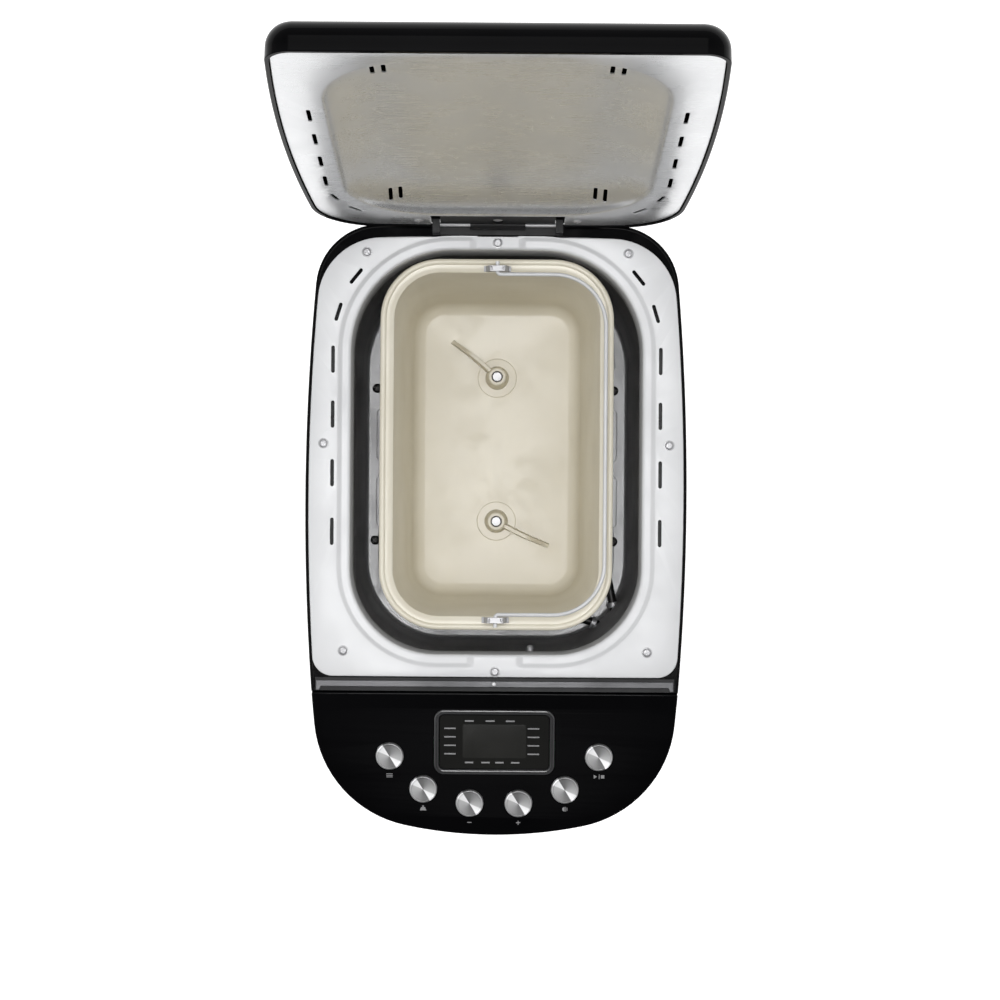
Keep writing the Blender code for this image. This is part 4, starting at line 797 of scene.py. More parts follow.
def make_base():
    """The satin tray that closes the casing below, and its four rubber feet."""
    lip, draft = 0.0067, 0.0040
    sections = [ring(outline(CASING, draft + 0.006), FOOT_HEIGHT)]
    for step in range(1, 6):
        turn = math.pi / 2 * step / 5
        inset = draft + 0.003 * (1 - math.sin(turn))
        sections.append(ring(outline(CASING, inset), FOOT_HEIGHT + 0.003 * (1 - math.cos(turn))))
    sections += [
        ring(outline(CASING, draft), TRAY_TOP - 0.0004),
        ring(outline(CASING, draft + 0.0004), TRAY_TOP),
        ring(outline(CASING, lip), TRAY_TOP),
        ring(outline(CASING, lip), TRAY_TOP + 0.0100),
        ring(outline(CASING, lip + 0.002), TRAY_TOP + 0.0100),
        ring(outline(CASING, lip + 0.002), FOOT_HEIGHT + 0.0025),
    ]
    mesh = loft_mesh("tray", sections)

    def underside_grooves(bm):
        for i in range(7):
            y = PAN_MIDDLE + 0.030 * (i - 3)
            for x in (-0.045, 0.045):
                place = Matrix.Translation((x, y, 0)) @ Matrix.Rotation(math.pi / 2, 4, "Z")
                add_prism(bm, stadium(0.050, 0.0030), FOOT_HEIGHT - 0.002, FOOT_HEIGHT + 0.0010, place)

    mesh = cut(mesh, underside_grooves)
    place_piece("tray_under_casing", mesh, "satin_black", "casing", stands_for=("base_tray",))
    top = FOOT_HEIGHT - GAP
    profile = [(0, top), (0.0110, top), (0.0110, 0.0024), (0.0106, 0.0010), (0.0096, 0.0002), (0.0086, 0),
               (0.0074, 0), (0.0068, 0.0008), (0.0040, 0.0008), (0.0034, 0.0002), (0, 0.0002)]
    for node in ("foot_front_left", "foot_front_right", "foot_rear_left", "foot_rear_right"):
        low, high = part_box(node)
        at = ((low[0] + high[0]) / 2, (low[1] + high[1]) / 2, 0)
        place_piece(f"rubber_{node}", spun_mesh(node, profile, 40), "black_rubber", "casing", at,
                    stands_for=(node,))


# ---------------------------------------------------------------- deck
def tab_share(p):
    """1 on the raised tab in the middle of each end of the opening, 0 on the pressed step."""
    return 1.0 - soft(abs(p.x), TAB_HALF_WIDTH - 0.0040, TAB_HALF_WIDTH + 0.0022)


def make_deck(sizes):
    """The pressed steel deck: its stepped opening, deep lip and vent slots."""
    drop = sizes.step_drop
    wide, narrow = STEP_OUTSET + 0.0012, STEP_OUTSET - 0.0016
    bottom = DECK_TOP - LIP_SHEET

    def level(share, lower=0.0):
        return lambda p: DECK_TOP - drop * share * (1 - tab_share(p)) - lower

    def at(inset):
        return outline(OPENING, inset, ends=FINE_ENDS)

    def edge(inset):
        return outline(DECK, inset, ends=FINE_ENDS)

    sections = [
        ring(edge(0), bottom),
        ring(edge(0), DECK_TOP - 0.0004),
        ring(edge(0.0002), DECK_TOP - 0.0001),
        ring(edge(0.0006), DECK_TOP),
        ring(at(-wide - 0.0006), DECK_TOP),
        ring(at(-wide), level(0.10)),
        ring(at(-wide + 0.0008), level(0.30)),
        ring(at(-narrow - 0.0008), level(0.78)),
        ring(at(-narrow), level(0.97)),
        ring(at(-narrow + 0.0006), level(1.0)),
        ring(at(-0.0026), level(1.0)),
        ring(at(-0.0014), level(1.0, 0.0001)),
        ring(at(-0.0006), level(1.0, 0.0005)),
        ring(at(-0.0001), level(1.0, 0.0012)),
        ring(at(0), level(1.0, 0.0022)),
        ring(at(0), LIP_FOOT),
        ring(at(-LIP_SHEET), LIP_FOOT),
        ring(at(-LIP_SHEET), lambda p: DECK_TOP - drop - 0.0026),
        ring(at(-narrow), lambda p: DECK_TOP - drop - LIP_SHEET),
        ring(at(-wide), bottom),
    ]
    mesh = loft_mesh("deck", sections, endless=True)

    def holes(bm):
        fill_prisms(bm, slot_prisms(0.0180, DECK_TOP - 0.004, DECK_TOP + 0.004))

    place_piece("steel_deck", cut(mesh, holes), "bright_steel", "casing", stands_for=("deck_plate",))
    for number, (x, y) in enumerate(deck_screw_places(), 1):
        mesh = screw_mesh(f"pan_head_{number}", 0.0030, 0.0014, 0.0040, flange=0.0007)
        place_piece(f"deck_pan_head_{number}", mesh, "zinc_steel", "casing", (x, y, DECK_TOP + 0.0001),
                    (0, 0, 0.5 * number), (f"deck_screw_{number}",))


def make_strip():
    """The strip between deck and panel: a dark channel with a grey bar laid in it, whose grey is a painted highlight
    on the satin black trim, and one screw.
    """
    reach = side_at(CASING, PANEL_REAR) - RIM_WIDTH - 2 * GAP
    low, high = PLATE_TOP + GAP, DECK_TOP
    mesh = prism_mesh("channel", [(
        [Vector((-reach, PANEL_REAR + 0.0006)), Vector((reach, PANEL_REAR + 0.0006)),
         Vector((reach, DECK_FRONT - 0.0008)), Vector((-reach, DECK_FRONT - 0.0008))], low, low + 0.0006, None)])
    channel = place_piece("strip_channel", mesh, "satin_black", "casing", stands_for=("front_trim",))
    softened(channel, 0.0001)
    front, rear = PANEL_REAR + 0.0034, DECK_FRONT - 0.0028
    route = [
        Vector((-reach + 0.0006, front - 0.0026)), Vector((-reach + 0.0030, front - 0.0026)),
        Vector((-reach + 0.0042, front)), Vector((reach - 0.0042, front)),
        Vector((reach - 0.0030, front - 0.0026)), Vector((reach - 0.0006, front - 0.0026)),
        Vector((reach - 0.0006, rear)), Vector((-reach + 0.0006, rear)),
    ]
    # The grey bar's tone is a painted highlight along the satin black trim.
    bar = place_piece("strip_highlight_bar", prism_mesh("bar", [(route, low + 0.0004, high + 0.0002, None)]),
                      "strip_painted_highlight", "casing")
    softened(bar, 0.0006, 4)
    mesh = screw_mesh("strip_screw", 0.0017, 0.0007, 0.0006)
    place_piece("strip_small_screw", mesh, "zinc_steel", "casing",
                (-0.0005, (front + rear) / 2, high + 0.0002))


# ---------------------------------------------------------------- oven
def corner_plate(inset, width, x_from, y_from, rear):
    """A band that follows one right corner of the opening: its outline."""
    def run(more):
        half = right_half(OPENING, more, 24, 24, 40)
        return [p for p in half if p.x > x_from and (p.y > y_from if rear else p.y < y_from)]

    return run(inset) + run(inset + width)[::-1]


def make_oven(sizes):
    """The chamber with its pressed floor, the element, the probe and the screws in its floor."""
    inner, outer, corner = -CHAMBER_OUTSET, -CHAMBER_OUTSET - 0.0008, 0.0030
    top = DECK_TOP - LIP_SHEET - sizes.step_drop - 2 * GAP
    inside, outside = [], []
    for step in range(7):
        turn = math.pi / 2 * step / 6
        lift, pull = corner * (1 - math.cos(turn)), corner * (1 - math.sin(turn))
        inside.append(ring(outline(OPENING, inner + pull), CHAMBER_FLOOR_TOP + lift))
        outside.append(ring(outline(OPENING, outer + pull), CHAMBER_FLOOR + lift))
    sections = inside + [
        ring(outline(OPENING, inner), top),
        ring(outline(OPENING, outer - 0.0030), top),
        ring(outline(OPENING, outer - 0.0030), top - 0.0008),
        ring(outline(OPENING, outer), top - 0.0008),
    ] + outside[::-1]

    def holes(bm):
        for y in (FRONT_SHAFT, REAR_SHAFT):
            add_prism(bm, circle(0.0084, 40, 0, y), CHAMBER_FLOOR - 0.005, CHAMBER_FLOOR_TOP + 0.005)

    place_piece("oven_wall", cut(loft_mesh("chamber", sections), holes), "dark_coating", "casing",
                stands_for=("oven_chamber",))
    bm = bmesh.new()
    low, high = CHAMBER_FLOOR_TOP - 0.0003, CHAMBER_FLOOR_TOP + 0.0010
    for side in (-1, 1):
        flip = Matrix.Diagonal((side, 1, 1, 1))
        for y, rear in ((PAN_MIDDLE + 0.062, True), (PAN_MIDDLE - 0.062, False)):
            add_prism(bm, corner_plate(0.0085, 0.0200, 0.0260, y, rear), low, high, flip)
        for y in (PAN_MIDDLE + 0.012, PAN_MIDDLE - 0.040):
            add_prism(bm, stadium(0.0420, 0.0090), low, high, Matrix.Translation((side * 0.0900, y, 0)))
    beads = place_piece("oven_floor_beads", closed_mesh("beads", bm), "dark_coating", "casing")
    softened(beads, 0.0007, 3)
    for number, (x, y) in enumerate(FLOOR_SCREWS, 1):
        mesh = screw_mesh(f"dome_head_{number}", 0.0036, 0.0024, 0.0006, dome=0.85)
        place_piece(f"oven_floor_screw_{number}", mesh, "element_sheath", "casing",
                    (x, y, CHAMBER_FLOOR_TOP + 0.0008), (0, 0, 0.7 * number), slot="zinc_steel")
    make_element()
    make_probe()
    dress("zinc_steel", "pan_clip_left", "pan_clip_right")


def make_element():
    """The black sheathed element, with a collar where each end passes through the wall."""
    x, inset = OPENING_WIDTH / 2 + CHAMBER_OUTSET - 0.0150, 0.0150
    rear, front = OPENING_REAR - inset, OPENING_FRONT + inset
    middle = Vector((OPENING_WIDTH / 2 - 0.0600, OPENING_FRONT + 0.0600))
    reach = 0.0600 + CHAMBER_OUTSET + 0.0038
    ends = [middle + Vector((math.cos(a), math.sin(a))) * reach for a in (math.radians(-38), math.radians(-51))]
    route = filleted([
        (*ends[0], 0), (x - 0.0040, front + 0.0460, 0.040), (x, rear, 0.0550), (-x, rear, 0.0550),
        (-x, front, 0.0450), (x - 0.0180, front, 0.030), (*ends[1], 0),
    ])
    height = CHAMBER_FLOOR_TOP + 0.0150
    places = [(p.x, p.y, height) for p in route]
    place_piece("element_tube", tube_mesh("element", places, 0.0033, 24), "element_sheath", "casing",
                stands_for=("heating_element",))
    profile = [(0.0036, 0.0030), (0.0050, 0.0026), (0.0052, 0.0), (0.0052, -0.0010), (0.0036, -0.0010)]
    for number, (end, before) in enumerate(((route[0], route[1]), (route[-1], route[-2])), 1):
        along = (before - end).to_3d().normalized()
        at = end.to_3d() + along * 0.0060 + Vector((0, 0, height))
        turn = along.to_track_quat("Z", "Y").to_euler()
        place_piece(f"element_collar_{number}", spun_mesh("collar", profile, 32, endless=True),
                    "zinc_steel", "casing", at, turn)


def make_probe():
    """The temperature probe in the front wall: a rounded tip and a hexagonal nut."""
    low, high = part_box("temperature_probe")
    x, z, front = (low[0] + high[0]) / 2, (low[2] + high[2]) / 2, OPENING_FRONT - CHAMBER_OUTSET
    profile = [(0, 0.0060), (0.0010, 0.0059), (0.0019, 0.0054), (0.0025, 0.0044), (0.0025, -0.0100), (0, -0.0100)]
    mesh = spun_mesh("probe", profile, 32)

    def nut(bm):
        add_prism(bm, circle(0.0055, 6), -0.0040, -0.0022)
        add_prism(bm, circle(0.0034, 24), 0.0005, 0.0014)

    mesh = cut(mesh, nut, "UNION")
    place_piece("probe_tip", mesh, "zinc_steel", "casing", (x, front, z), (-math.pi / 2, 0, 0),
                ("temperature_probe",))


# ---------------------------------------------------------------- pan, handle and kneaders
def make_pan(sizes):
    """The coated pan: a rolled rim, a stepped shoulder, tapered walls and a pressed floor."""
    width, sheet, taper = 0.0095, 0.0016, 0.0085
    outer = width - sheet
    foot = outer + taper
    sections = [
        ring(outline(PAN, foot + 0.0060), PAN_BOTTOM),
        ring(outline(PAN, foot + 0.0018), PAN_BOTTOM + 0.0012),
        ring(outline(PAN, foot), PAN_BOTTOM + 0.0040),
        ring(outline(PAN, outer), PAN_TOP - 0.0060),
    ]
    roll = sizes.rim_roll
    for step in range(9):
        turn = math.radians(220 - 25 * step)
        sections.append(ring(outline(PAN, roll + roll * math.cos(turn)), PAN_TOP - roll + roll * math.sin(turn)))
    sections += [
        ring(outline(PAN, 0.0056), PAN_TOP - 0.0016),
        ring(outline(PAN, 0.0084), PAN_TOP - 0.0018),
        ring(outline(PAN, width), PAN_TOP - 0.0026),
        ring(outline(PAN, width + 0.0004), PAN_TOP - 0.0060),
        ring(outline(PAN, width + taper - 0.0006), PAN_BOTTOM + 0.0120),
        ring(outline(PAN, width + taper + 0.0012), PAN_BOTTOM + 0.0060),
        ring(outline(PAN, width + taper + 0.0044), PAN_BOTTOM + 0.0030),
        ring(outline(PAN, width + taper + 0.0090), PAN_BOTTOM + 0.0020),
    ]
    mesh = loft_mesh("pan", sections)

    def bores(bm):
        for y in (FRONT_SHAFT, REAR_SHAFT):
            add_prism(bm, circle(0.0043, 32, 0, y), PAN_BOTTOM - 0.01, PAN_BOTTOM + 0.01)

    place_piece("coated_pan", cut(mesh, bores), "cream_coating", "pan", stands_for=("bread_pan",))
    bm = bmesh.new()
    low, high = PAN_BOTTOM + 0.0015, PAN_BOTTOM + 0.0028
    for y in (FRONT_SHAFT, REAR_SHAFT):
        hub = circle(0.0150, 48, 0, y)
        add_prism(bm, hub, low, high)
    hubs = place_piece("pan_floor_bosses", closed_mesh("bosses", bm), "cream_coating", "pan")
    softened(hubs, 0.0008, 3)
    dress("zinc_steel", "pan_skirt")
    make_brackets()


def make_brackets():
    """Two folded straps on the rim, each with a pair of lugs and a slot at both ends."""
    for node in ("handle_bracket_rear", "handle_bracket_front"):
        low, high = (Vector(c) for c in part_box(node))
        middle = (low + high) / 2
        half, deep = (high.x - low.x) / 2, (high.y - low.y) / 2
        top = high.z - low.z

        strap = [Vector((-half, 0)), Vector((half, 0)), Vector((half, 0.0009)), Vector((half - 0.0016, 0.0012))]
        strap += [Vector((half - 0.0030, top - 0.0012)), Vector((half - 0.0042, top))]
        strap += [Vector((-p.x, p.y)) for p in strap[:1:-1]]
        bm = bmesh.new()
        add_prism(bm, strap, -deep, deep, Matrix.Rotation(math.pi / 2, 4, "X"))
        mesh = closed_mesh(node, bm)

        def details(bm):
            for x in (-half + 0.0052, half - 0.0052):
                add_block(bm, (x - 0.0006, -deep * 0.55, top - 0.0030), (x + 0.0006, deep * 0.55, top + 0.001))
            across = Matrix.Translation((0, 0, BAIL_HEIGHT - low.z)) @ Matrix.Rotation(math.pi / 2, 4, "X")
            add_prism(bm, circle(0.0017, 24), -0.01, 0.01, across)

        piece = place_piece(f"strap_{node}", cut(mesh, details), "zinc_steel", "pan",
                            (middle.x, middle.y, low.z), stands_for=(node,))
        softened(piece, 0.0002, 2)


def make_handle(sizes):
    """The bent wire handle, folded down to the right."""
    rear, front = PAN_REAR - 0.0091, PAN_FRONT + 0.0091
    radius, reach, bend = sizes.wire_radius, 0.0759, 0.0022
    beside = 0.0019
    route = filleted([
        (0, rear + 0.0070, 0), (0, rear - beside, bend), (reach, rear - beside, 0.036),
        (reach, front + beside, 0.036), (0, front + beside, bend), (0, front - 0.0070, 0),
    ], 18)
    mesh = tube_mesh("handle_wire", [(p.x, p.y, 0) for p in route], radius, 24)
    place_piece("wire_handle", mesh, "bright_steel", "handle", (0, 0, BAIL_HEIGHT),
                stands_for=("pan_handle",))


def make_kneaders():
    """In each half of the pan a shaft and a swept paddle with a rounded hub."""
    for end, y, sweep in (("front", FRONT_SHAFT, -0.5), ("rear", REAR_SHAFT, 2.4)):
        coupling = PAN_BOTTOM - 0.0130
        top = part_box(f"kneading_shaft_{end}")[1][2]
        profile = [(0, top), (0.0032, top), (0.0040, top - 0.0008), (0.0040, coupling), (0.0142, coupling),
                   (0.0145, coupling - 0.0004), (0.0145, coupling - 0.0030), (0, coupling - 0.0030)]
        mesh = spun_mesh("shaft", profile, 40)

        def lugs(bm):
            for side in (-1, 1):
                add_block(bm, (side * 0.012 - 0.0022, -0.004, coupling - 0.014),
                          (side * 0.012 + 0.0022, 0.004, coupling - 0.002))

        body = f"kneader_{end}"
        place_piece(f"pan_shaft_{end}", cut(mesh, lugs, "UNION"), "zinc_steel", body, (0, y, 0),
                    stands_for=(f"kneading_shaft_{end}",))
        base = PAN_BOTTOM + 0.0026
        crest = base + 0.0200
        profile = [(0.0043, crest), (0.0060, crest), (0.0068, crest - 0.0005), (0.0072, crest - 0.0016),
                   (0.0090, base + 0.0010), (0.0084, base), (0.0043, base)]
        mesh = spun_mesh("hub", profile, 40, endless=True)

        def blade(bm):
            """A blade that thickens at its foot and curls back at its tip."""
            sections, steps = [], 14
            for i in range(steps + 1):
                along = 0.0064 + (0.0440 - 0.0064) * i / steps
                curl = 0.0030 * (i / steps) ** 2
                tall = 0.0185 - 0.0110 * soft(i / steps, 0.55, 1.0)
                foot, head = 0.0024 - 0.0006 * i / steps, 0.0012
                sections.append([
                    Vector((along, curl - foot, base + 0.0004)), Vector((along, curl + foot, base + 0.0004)),
                    Vector((along, curl + head, base + tall)), Vector((along, curl - head, base + tall)),
                ])
            rings = [[bm.verts.new(p) for p in section] for section in sections]
            for first, second in zip(rings, rings[1:]):
                for i in range(4):
                    j = (i + 1) % 4
                    bm.faces.new((first[i], first[j], second[j], second[i]))
            bm.faces.new(rings[0])
            bm.faces.new(rings[-1])

        piece = place_piece(f"swept_paddle_{end}", cut(mesh, blade, "UNION"), "pan_coating", body,
                            (0, y, 0), (0, 0, sweep), (f"kneading_paddle_{end}",))
        softened(piece, 0.0005, 2)


# ---------------------------------------------------------------- panel
def make_panel(sizes):
    """The glossy panel with rounded edges and holes for the keys and the display."""
    round_off = sizes.panel_round
    sections = [ring(outline(PANEL), lambda p: panel_height(p.y) - PANEL_THICKNESS)]
    for step in range(6):
        turn = math.pi / 2 * step / 5
        inset, lower = round_off * (1 - math.cos(turn)), round_off * (1 - math.sin(turn))
        sections.append(ring(outline(PANEL, inset), lambda p, lower=lower: panel_height(p.y) - lower))
    mesh = loft_mesh("panel", sections)

    def holes(bm):
        for _, _, x, back in KEYS:
            for side in (-1, 1):
                add_prism(bm, circle(0.0098, 64), -0.01, 0.01, tilted(side * x, FRONT + back))
        add_prism(bm, window_outline(-0.0004), -0.01, 0.01, tilted(0, DISPLAY_PLACE))

    place_piece("glossy_panel", cut(mesh, holes), "gloss_black", "casing",
                stands_for=("control_panel",))
    make_display()
    make_marks()


def window_outline(inset):
    """The display bezel's outline about its own middle, moved in by inset."""
    half = BEZEL_LENGTH / 2
    return outline(boxed(BEZEL_WIDTH, half, -half, BEZEL_CORNER, BEZEL_CORNER), inset)


def make_display():
    """The raised bezel with a double bead, the dark window and the display cell under it."""
    where = dict(at=on_panel(0, DISPLAY_PLACE), turn=(PANEL_SLOPE, 0, 0))
    rise, foot = 0.0012, -PANEL_THICKNESS - 0.0010
    steps = [
        (0.0, foot), (0.0, rise - 0.0007), (0.0002, rise - 0.0002), (0.0007, rise), (0.0013, rise),
        (0.0016, rise - 0.0005), (0.0019, rise - 0.0005), (0.0022, rise - 0.0001), (0.0028, rise - 0.0002),
        (0.0033, rise - 0.0010), (BEZEL_FRAME, -0.0006), (BEZEL_FRAME, foot),
    ]
    sections = [ring(window_outline(inset), level) for inset, level in steps]
    place_piece("display_surround", loft_mesh("bezel", sections, endless=True), "bezel_frame",
                "casing", stands_for=("display_bezel",), **where)
    lens = BEZEL_FRAME + GAP
    sections = [ring(window_outline(lens), -0.0024), ring(window_outline(lens), -0.0010),
                ring(window_outline(lens + 0.0002), -0.0008)]
    place_piece("display_pane", loft_mesh("pane", sections), "display_glass", "casing",
                stands_for=("display_window",), **where)
    half_x, half_y = 0.0220, 0.0118
    cell = outline(boxed(2 * half_x, half_y + 0.0004, -half_y + 0.0004, 0.0012, 0.0012))
    sections = [ring(cell, -0.0009), ring(cell, -0.00074),
                ring([Vector((p.x * 0.985, p.y * 0.975)) for p in cell], -0.00072)]
    place_piece("display_cell_face", loft_mesh("cell", sections), "display_cell", "casing", **where)
    dress("satin_black", "display_module")


def bar(width, height, x=0.0, y=0.0):
    """A rectangle's outline about a point."""
    return [Vector((x + a * width / 2, y + b * height / 2)) for a, b in ((-1, -1), (1, -1), (1, 1), (-1, 1))]


def make_marks():
    """Plain signs under the keys and plain ticks round the display, printed on the surface."""
    ink = []
    low, high = -0.00002, 0.00007

    def mark(x, y, shapes):
        for points in shapes:
            ink.append((points, low, high, tilted(x, y)))

    def half(start):
        turn = (start + math.pi * i / 12 for i in range(13))
        return [Vector((0.0016 * math.cos(a), 0.0016 * math.sin(a))) for a in turn]

    signs = {
        "menu": [bar(0.0044, 0.0005, 0, 0.0011), bar(0.0044, 0.0005), bar(0.0044, 0.0005, 0, -0.0011)],
        "start": [
            [Vector((-0.0034, -0.0014)), Vector((-0.0010, 0.0)), Vector((-0.0034, 0.0014))],
            bar(0.0005, 0.0034, 0.0004, 0), bar(0.0024, 0.0024, 0.0028, 0),
        ],
        "weight": [
            [Vector((-0.0022, -0.0015)), Vector((0.0022, -0.0015)), Vector((0.0014, 0.0008)),
             Vector((-0.0014, 0.0008))], circle(0.0006, 20, 0, 0.0015),
        ],
        "crust": [half(math.pi / 2), bar(0.0004, 0.0032, 0.0008), bar(0.0004, 0.0022, 0.0017)],
        "time_down": [bar(0.0030, 0.0006)],
        "time_up": [bar(0.0030, 0.0006), bar(0.0006, 0.0012, 0, 0.0009), bar(0.0006, 0.0012, 0, -0.0009)],
    }
    for left, right, x, back in KEYS:
        for name, side in ((left, -1), (right, 1)):
            mark(side * x, FRONT + back - 0.0138, signs[name])
    place_piece("key_signs", prism_mesh("signs", ink), "marking_ink", "casing")
    ticks = []
    rise = -0.00080
    for x in (-0.0175, -0.0030, 0.0110):
        ticks.append((bar(0.0062, 0.0010, x, 0.0148), rise, rise + 0.0001, None))
    for row in range(4):
        y = 0.0095 - 0.0060 * row
        ticks.append((bar(0.0080, 0.0009, -0.0308, y), rise, rise + 0.0001, None))
        ticks.append((bar(0.0080, 0.0009, 0.0272, y), rise, rise + 0.0001, None))
    for x in (-0.0175, -0.0060, 0.0036, 0.0146):
        ticks.append((bar(0.0058, 0.0010, x, -0.0146), rise, rise + 0.0001, None))
    place_piece("display_ticks", prism_mesh("ticks", ticks), "marking_ink", "casing",
                on_panel(0, DISPLAY_PLACE), (PANEL_SLOPE, 0, 0))


def make_keys(sizes):
    """Six sprung caps: a turned aluminium face with a fine bead round it, on a stem."""
    top, radius, flange = 0.0026, 0.0094, -PANEL_THICKNESS - GAP
    dish = sizes.key_dish
    profile = [(0, top - 0.0005 - dish)]
    for step in range(1, 9):
        share = step / 8
        profile.append(((radius - 0.0016) * share, top - 0.0005 - dish * (1 - share * share)))
    profile += [
        (radius - 0.0013, top - 0.0001), (radius - 0.0010, top), (radius - 0.0006, top),
        (radius - 0.0002, top - 0.0002), (radius, top - 0.0006), (radius, flange), (radius + 0.0014, flange),
        (radius + 0.0014, flange - 0.0012), (0.0030, flange - 0.0012), (0.0030, -0.0140), (0, -0.0140),
    ]
    for left, right, x, back in KEYS:
        for name, side in ((left, -1), (right, 1)):
            mesh = spun_mesh(f"key_{name}", profile, 72)
            place_piece(f"turned_key_{name}", mesh, "spun_aluminium", f"{name}_button",
                        on_panel(side * x, FRONT + back), (PANEL_SLOPE, 0, 0), (f"button_{name}",))


# ---------------------------------------------------------------- lid and hinge
def lid_crown(from_rear):
    """Height of the lid's top above its lower edge: level at the rear, rounded down in front."""
    along = min(1.0, max(0.0, (LID_LENGTH - from_rear) / (0.6 * LID_LENGTH)))
    return 0.0200 + 0.0250 * math.sin(along * math.pi / 2)


LID_WHERE = dict(at=(0, HINGE_PLACE, HINGE_HEIGHT))


def opened(mesh):
    """Turns a mesh drawn about the hinge's pin back by the lid's opening angle."""
    mesh.transform(Matrix.Rotation(-LID_OPEN, 4, "X"))
    return mesh


def shut(sections):
    """Moves sections drawn around the closed lid to stand about the hinge's pin."""
    offset = Vector((0, HINGE_PLACE, HINGE_HEIGHT))
    return [[point - offset for point in section] for section in sections]


def make_lid(sizes):
    """The crowned glossy lid, with a notch for the hinge."""
    wall, deep = 0.0026, 0.0140

    def crown(drop):
        return lambda p: LID_BOTTOM + lid_crown(REAR - p.y) - drop

    sections = [ring(outline(LID, deep, share), crown(0.0)) for share in (0.15, 0.34, 0.52, 0.70, 0.86)]
    for step in range(10):
        turn = math.pi / 2 * step / 9
        sections.append(ring(outline(LID, deep * (1 - math.sin(turn))), crown(0.0150 * (1 - math.cos(turn)))))
    sections += [
        ring(outline(LID), LID_BOTTOM + 0.0005),
        ring(outline(LID, 0.0005), LID_BOTTOM),
        ring(outline(LID, wall), LID_BOTTOM),
        ring(outline(LID, wall), crown(0.0155)),
        ring(outline(LID, 0.0070), crown(0.0075)),
        ring(outline(LID, deep + 0.0010), crown(0.0036)),
        ring(outline(LID, deep, 0.70), crown(wall)),
        ring(outline(LID, deep, 0.34), crown(wall)),
        ring(outline(LID, deep, 0.15), crown(wall)),
    ]

    def notch(bm):
        add_block(bm, (-0.0465, -0.0080, -0.010), (0.0465, 0.010, 0.0085))

    mesh = cut(loft_mesh("lid", shut(sections)), notch)
    place_piece("crowned_lid", opened(mesh), "gloss_black", "lid", stands_for=("lid_shell",), **LID_WHERE)
    make_liner(sizes)


def make_liner(sizes):
    """The steel sheet in the lid: a flat border, a pressed dish, vent slots and two screws."""
    flat, deep, sheet = LID_BOTTOM + 0.0008, LID_BOTTOM + sizes.dish_depth, 0.0008
    edge, slope = 0.0032, 0.0300
    face = [
        (DISH, slope + 0.0080, deep), (DISH, slope, deep - 0.0003), (DISH, slope * 0.70, deep - 0.0013),
        (DISH, slope * 0.42, deep - 0.0032), (DISH, slope * 0.20, flat + 0.0052), (DISH, 0.0032, flat + 0.0036),
        (DISH, 0.0018, flat + 0.0026), (DISH, 0.0009, flat + 0.0014), (DISH, 0.0002, flat + 0.0004),
        (DISH, -0.0006, flat + 0.0001), (DISH, -0.0016, flat), (LID, edge + 0.0008, flat), (LID, edge, flat + 0.0003),
    ]
    sections = [ring(outline(shape, inset), level) for shape, inset, level in face]
    sections += [ring(outline(shape, inset), level + sheet) for shape, inset, level in face[::-1]]
    mesh = loft_mesh("liner", shut(sections))
    to_pin = Matrix.Translation((0, -HINGE_PLACE, -HINGE_HEIGHT))

    def holes(bm):
        add_block(bm, (-0.0460, -0.0215, -0.010), (0.0460, 0.010, 0.010))
        fill_prisms(bm, slot_prisms(0.0200, flat - 0.006, flat + 0.006, to_pin))
        for x in (-0.0718, -0.0652, 0.0652, 0.0718):
            for back in (0.0490, 0.2640):
                at = to_pin @ Matrix.Translation((x, REAR - back, 0))
                add_prism(bm, stadium(0.0150, 0.0027), flat - 0.004, deep + 0.006, at)

    place_piece("steel_liner", opened(cut(mesh, holes)), "liner_steel", "lid", stands_for=("lid_liner",), **LID_WHERE)
    under = flat - HINGE_HEIGHT
    for number, (x, back) in enumerate(((-0.0545, 0.0100), (0.0545, 0.0100)), 1):
        place_piece(f"liner_screw_{number}", flush_screw(f"liner_head_{number}", 0.0030), "zinc_steel",
                    "lid", Vector(LID_WHERE["at"]) + Matrix.Rotation(-LID_OPEN, 3, "X")
                    @ Vector((x, -back, under)), (math.pi - LID_OPEN, 0, 0))


def flush_screw(name, head):
    """A low countersunk head with a cross recess."""
    profile = [(0, 0.0006), (head * 0.7, 0.0005), (head * 0.95, 0.0002), (head, -0.0001), (head, -0.0005),
               (0, -0.0007)]
    mesh = spun_mesh(name, profile, 32)

    return cut(mesh, lambda bm: add_prism(
        bm, plus(head * 0.55, head * 0.12), -0.0001, 0.001, Matrix.Rotation(0.4, 4, "Z")
    ))


def make_hinge():
    """A dark pocket behind the hinge, and finishes for the bracket, pin, leaf and screw of the frame."""
    low = LID_BOTTOM + 0.0010 - HINGE_HEIGHT
    bm = bmesh.new()
    add_block(bm, (-0.0462, -0.0218, low), (0.0462, -0.0210, low + 0.0050))
    for side in (-1, 1):
        for inner, outer, front, back in ((0.0398, 0.0463, -0.0214, 0.0010), (0.0452, 0.0463, 0.0008, 0.0080)):
            left, right = sorted((side * inner, side * outer))
            add_block(bm, (left, front, 0.0037), (right, back, 0.0044))
    pocket = place_piece("hinge_pocket", opened(closed_mesh("pocket", bm)), "satin_black", "lid", **LID_WHERE)
    softened(pocket, 0.0002, 2)
    dress("satin_black", "hinge_bracket", "lid_hinge_leaf")
    dress("zinc_steel", "hinge_pin", "lid_screw")


def make_works():
    """Finishes for the works inside, which stay as the frame carries them."""
    dress("zinc_steel", "motor_bracket", "drive_shaft_front", "drive_shaft_rear")
    dress("motor_casing", "motor")
    dress("dark_nylon", "drive_bearing_front", "drive_bearing_rear", "drive_pulley_front",
          "drive_pulley_rear", "motor_pulley")
    dress("black_rubber", "motor_belt", "linking_belt", "cord_gland")
    dress("circuit_green", "control_board", "power_board")


